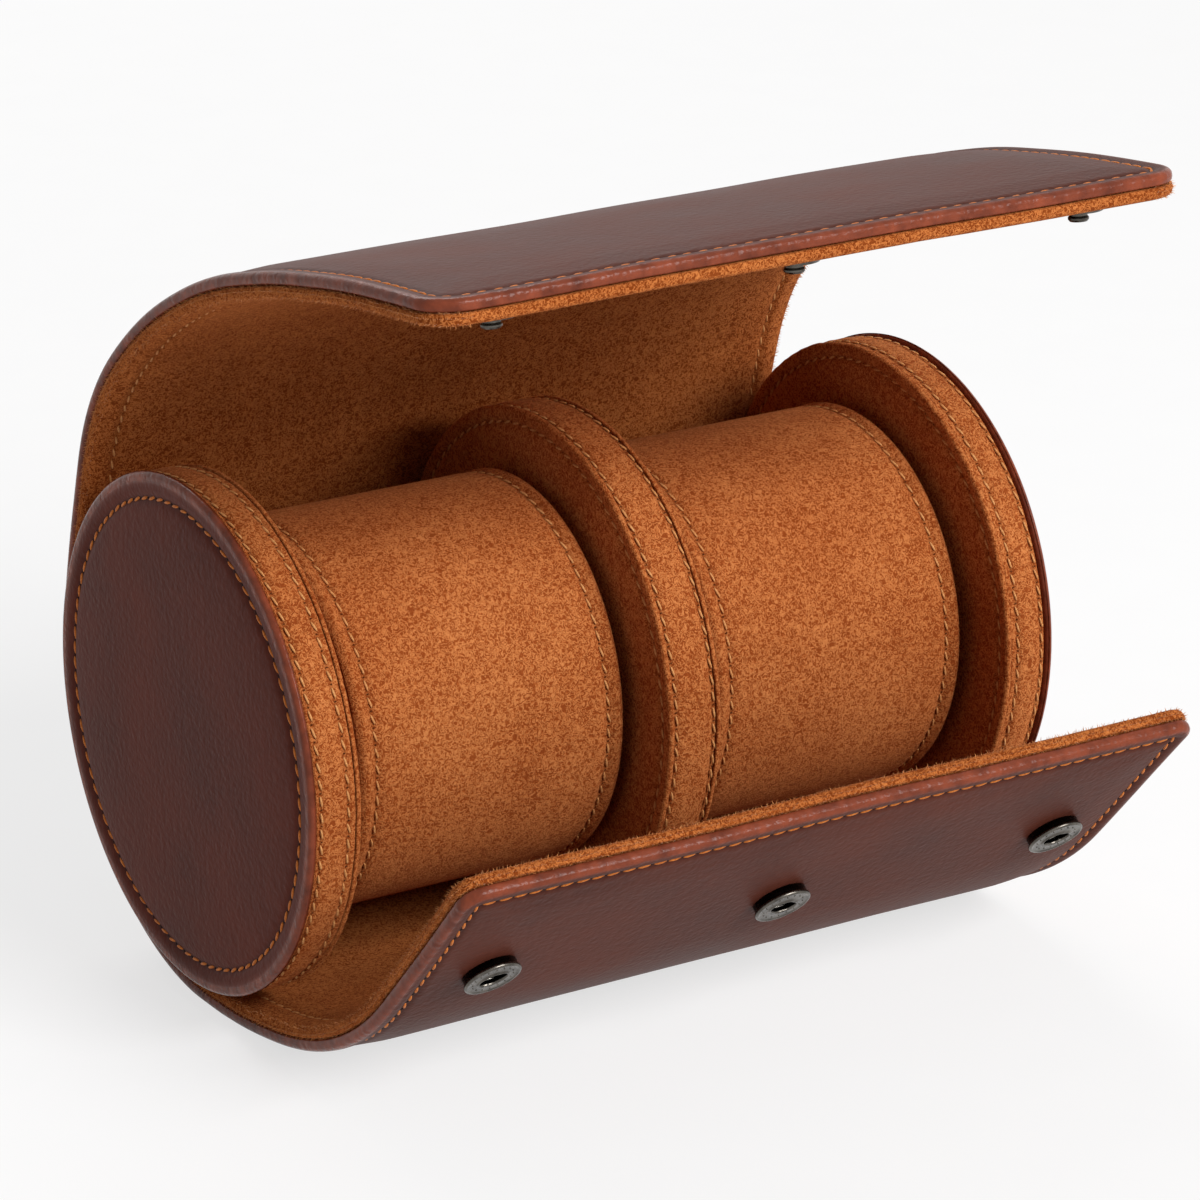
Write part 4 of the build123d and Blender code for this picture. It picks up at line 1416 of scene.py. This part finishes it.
def snap_sockets():
    """The three sockets side by side on the flap, their painted-dark drum and well rows in a second material.
    """
    across, out = Vector((1, 0, 0)), outwards(SNAP_PLACE)
    basis = Matrix((across, out.cross(across), out)).transposed() * MM
    rings, feet, model = [], [], socket_rings()
    for step, spin in zip((-1, 0, 1), SNAP_SPINS):
        centre = on_sheet(0, SNAP_PLACE, 0) + across * step * SNAP_PITCH * MM
        placed = basis @ Matrix.Rotation(spin, 3, "Z")
        rings += [[centre + placed @ Vector(point) for point in ring] for ring in model]
        for k in range(DOT_COUNT):
            turn = 2 * pi * (k + 0.5) / DOT_COUNT
            feet.append(centre + basis @ Vector((DOT_RING * cos(turn), DOT_RING * sin(turn), DOT_HEIGHT)))
    mesh = ring_mesh("snap_socket_bodies", rings)
    mesh.materials.append(GUNMETAL)
    mesh.materials.append(DARK_PAINTED_METAL)
    # The drum and well rows take the dark metal: painted reflection and painted shade.
    for polygon in mesh.polygons:
        row = polygon.index // SOCKET_STEPS % (len(model) - 1)
        polygon.material_index = 1 if row <= DRUM_ROWS or row >= len(model) - 1 - WELL_ROWS else 0

    def dots(work):
        for foot in feet:
            ball = bmesh.ops.create_icosphere(work, subdivisions=2, radius=DOT_SIZE / 2 * MM)
            for vertex in ball["verts"]:
                vertex.co += foot

    close_up(mesh, dots)
    return put("snap_socket_bodies", mesh)


sockets = snap_sockets()
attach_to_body(sockets, "flap_strip_2")
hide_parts("snap_sockets")
print("snap socket faces:", len(sockets.data.polygons))

# %% [markdown]
# ## Materials of the solids that stay
#
# The boards, pads, rivets, studs and springs keep the shapes of the solids. Each is given
# the material of what it is.

# %% Dress the other solids


def material_for(name):
    if name.startswith("snap"):
        return SPRING_STEEL if name.startswith("snap_springs") else GUNMETAL
    if "foam" in name or name.endswith("cushion_core"):
        return FOAM
    if "board" in name:
        return FIBREBOARD if name.endswith("board_core") else STIFFENER
    return LINING_SUEDE if "suede" in name or "lining" in name else WRAP_LEATHER


for name, node in frame["nodes"].items():
    for slot in node.material_slots:
        slot.material = material_for(name)
print("solids dressed:", len(frame["nodes"]))

# %% [markdown]
# ## Floor, light and camera
#
# The case stands on a pale floor under soft studio light. The world gives an even fill and
# two large lamps give it direction: a big one in front, above and to the right, which
# reaches in under the lid, and a weaker one behind, whose sheen shows on the lid. Camera,
# gloss and glass rays see a white world, while the light that the world gives the case is
# set by itself. The photo's background is pure white with a pale shadow, so the same rays
# see the floor as part white paper and part glow, which keeps the shadow and lightens it.

# %% Floor and world
FLOOR_HALF = 6
FLOOR_GLOW = 0.68
WHITE = (1, 1, 1, 1)


def seen(tree):
    """1 for camera, gloss and glass rays, 0 for the light that falls on the case."""
    rays = add(tree, "ShaderNodeLightPath").outputs
    direct = maths(tree, "MAXIMUM", rays["Is Camera Ray"], rays["Is Glossy Ray"])
    return maths(tree, "MAXIMUM", direct, rays["Is Transmission Ray"])


floor_mesh = bpy.data.meshes.new("studio_floor")
corners = [(x * FLOOR_HALF, y * FLOOR_HALF, 0) for x, y in ((-1, -1), (1, -1), (1, 1), (-1, 1))]
floor_mesh.from_pydata(corners, [], [(0, 1, 2, 3)])
floor_material, tree, place = new_material("pale paper floor")
paper = ramp(tree, cloud(tree, place, 1 / 60, 2.0), (0.3, "#FCFBFB"), (0.7, "#FEFDFD"))
shader = add(tree, "ShaderNodeBsdfPrincipled", {
    "Base Color": paper, "Roughness": 0.9, "Specular IOR Level": 0.0})
glow = add(tree, "ShaderNodeEmission", {"Color": WHITE, "Strength": 1.0})
share = maths(tree, "MULTIPLY", seen(tree), FLOOR_GLOW)
both = add(tree, "ShaderNodeMixShader", {0: share, 1: shader, 2: glow})
add(tree, "ShaderNodeOutputMaterial", {"Surface": both})
floor_mesh.materials.append(floor_material)
put("studio_floor", floor_mesh)

world = bpy.data.worlds.new("studio")
bpy.context.scene.world = world
world.use_nodes = True
tree = world.node_tree
tree.nodes.clear()
fill = add(tree, "ShaderNodeBackground", {"Color": WHITE, "Strength": 0.25})
white = add(tree, "ShaderNodeBackground", {"Color": WHITE, "Strength": 1.0})
both = add(tree, "ShaderNodeMixShader", {0: seen(tree), 1: fill, 2: white})
add(tree, "ShaderNodeOutputWorld", {"Surface": both})
print("floor glow", FLOOR_GLOW)

# %% Lamps


def softbox(name, place, aim, size, watts):
    lamp = bpy.data.lights.new(name, "AREA")
    lamp.shape = "RECTANGLE"
    lamp.size, lamp.size_y = size
    lamp.energy = watts
    made = put(name, lamp)
    made.location = place
    made.rotation_euler = (Vector(aim) - Vector(place)).to_track_quat("-Z", "Y").to_euler()


softbox("key", (0.4, -1.3, 0.92), (0, 0, 0.06), (0.75, 0.75), 27.0)
softbox("back", (0.25, 1.15, 1.05), (0, 0, 0.1), (0.9, 0.7), 8.0)
print("lamps:", len(bpy.data.lights))

# %% [markdown]
# The camera stands where the photo was taken from. Its place, aim and long lens come from
# a fit of the discs, snaps and edges in the photo.

# %% Camera
CAMERA_FROM_AXIS = (-463.8, -762.3, 336.8)
CAMERA_DOWN = 20.12
CAMERA_RIGHT = 31.79
camera_data = bpy.data.cameras.new("camera")
camera_data.lens = 163.8
camera_data.sensor_width = 36.0
camera_data.clip_start = 0.05
camera = put("camera", camera_data)
camera.location = [(away + on) * MM for away, on in zip(CAMERA_FROM_AXIS, (0.0, *AXIS))]
camera.rotation_euler = (radians(90 - CAMERA_DOWN), 0.0, radians(-CAMERA_RIGHT))
bpy.context.scene.camera = camera
bpy.context.scene.view_settings.view_transform = "Standard"
print("lens", camera_data.lens, "mm")
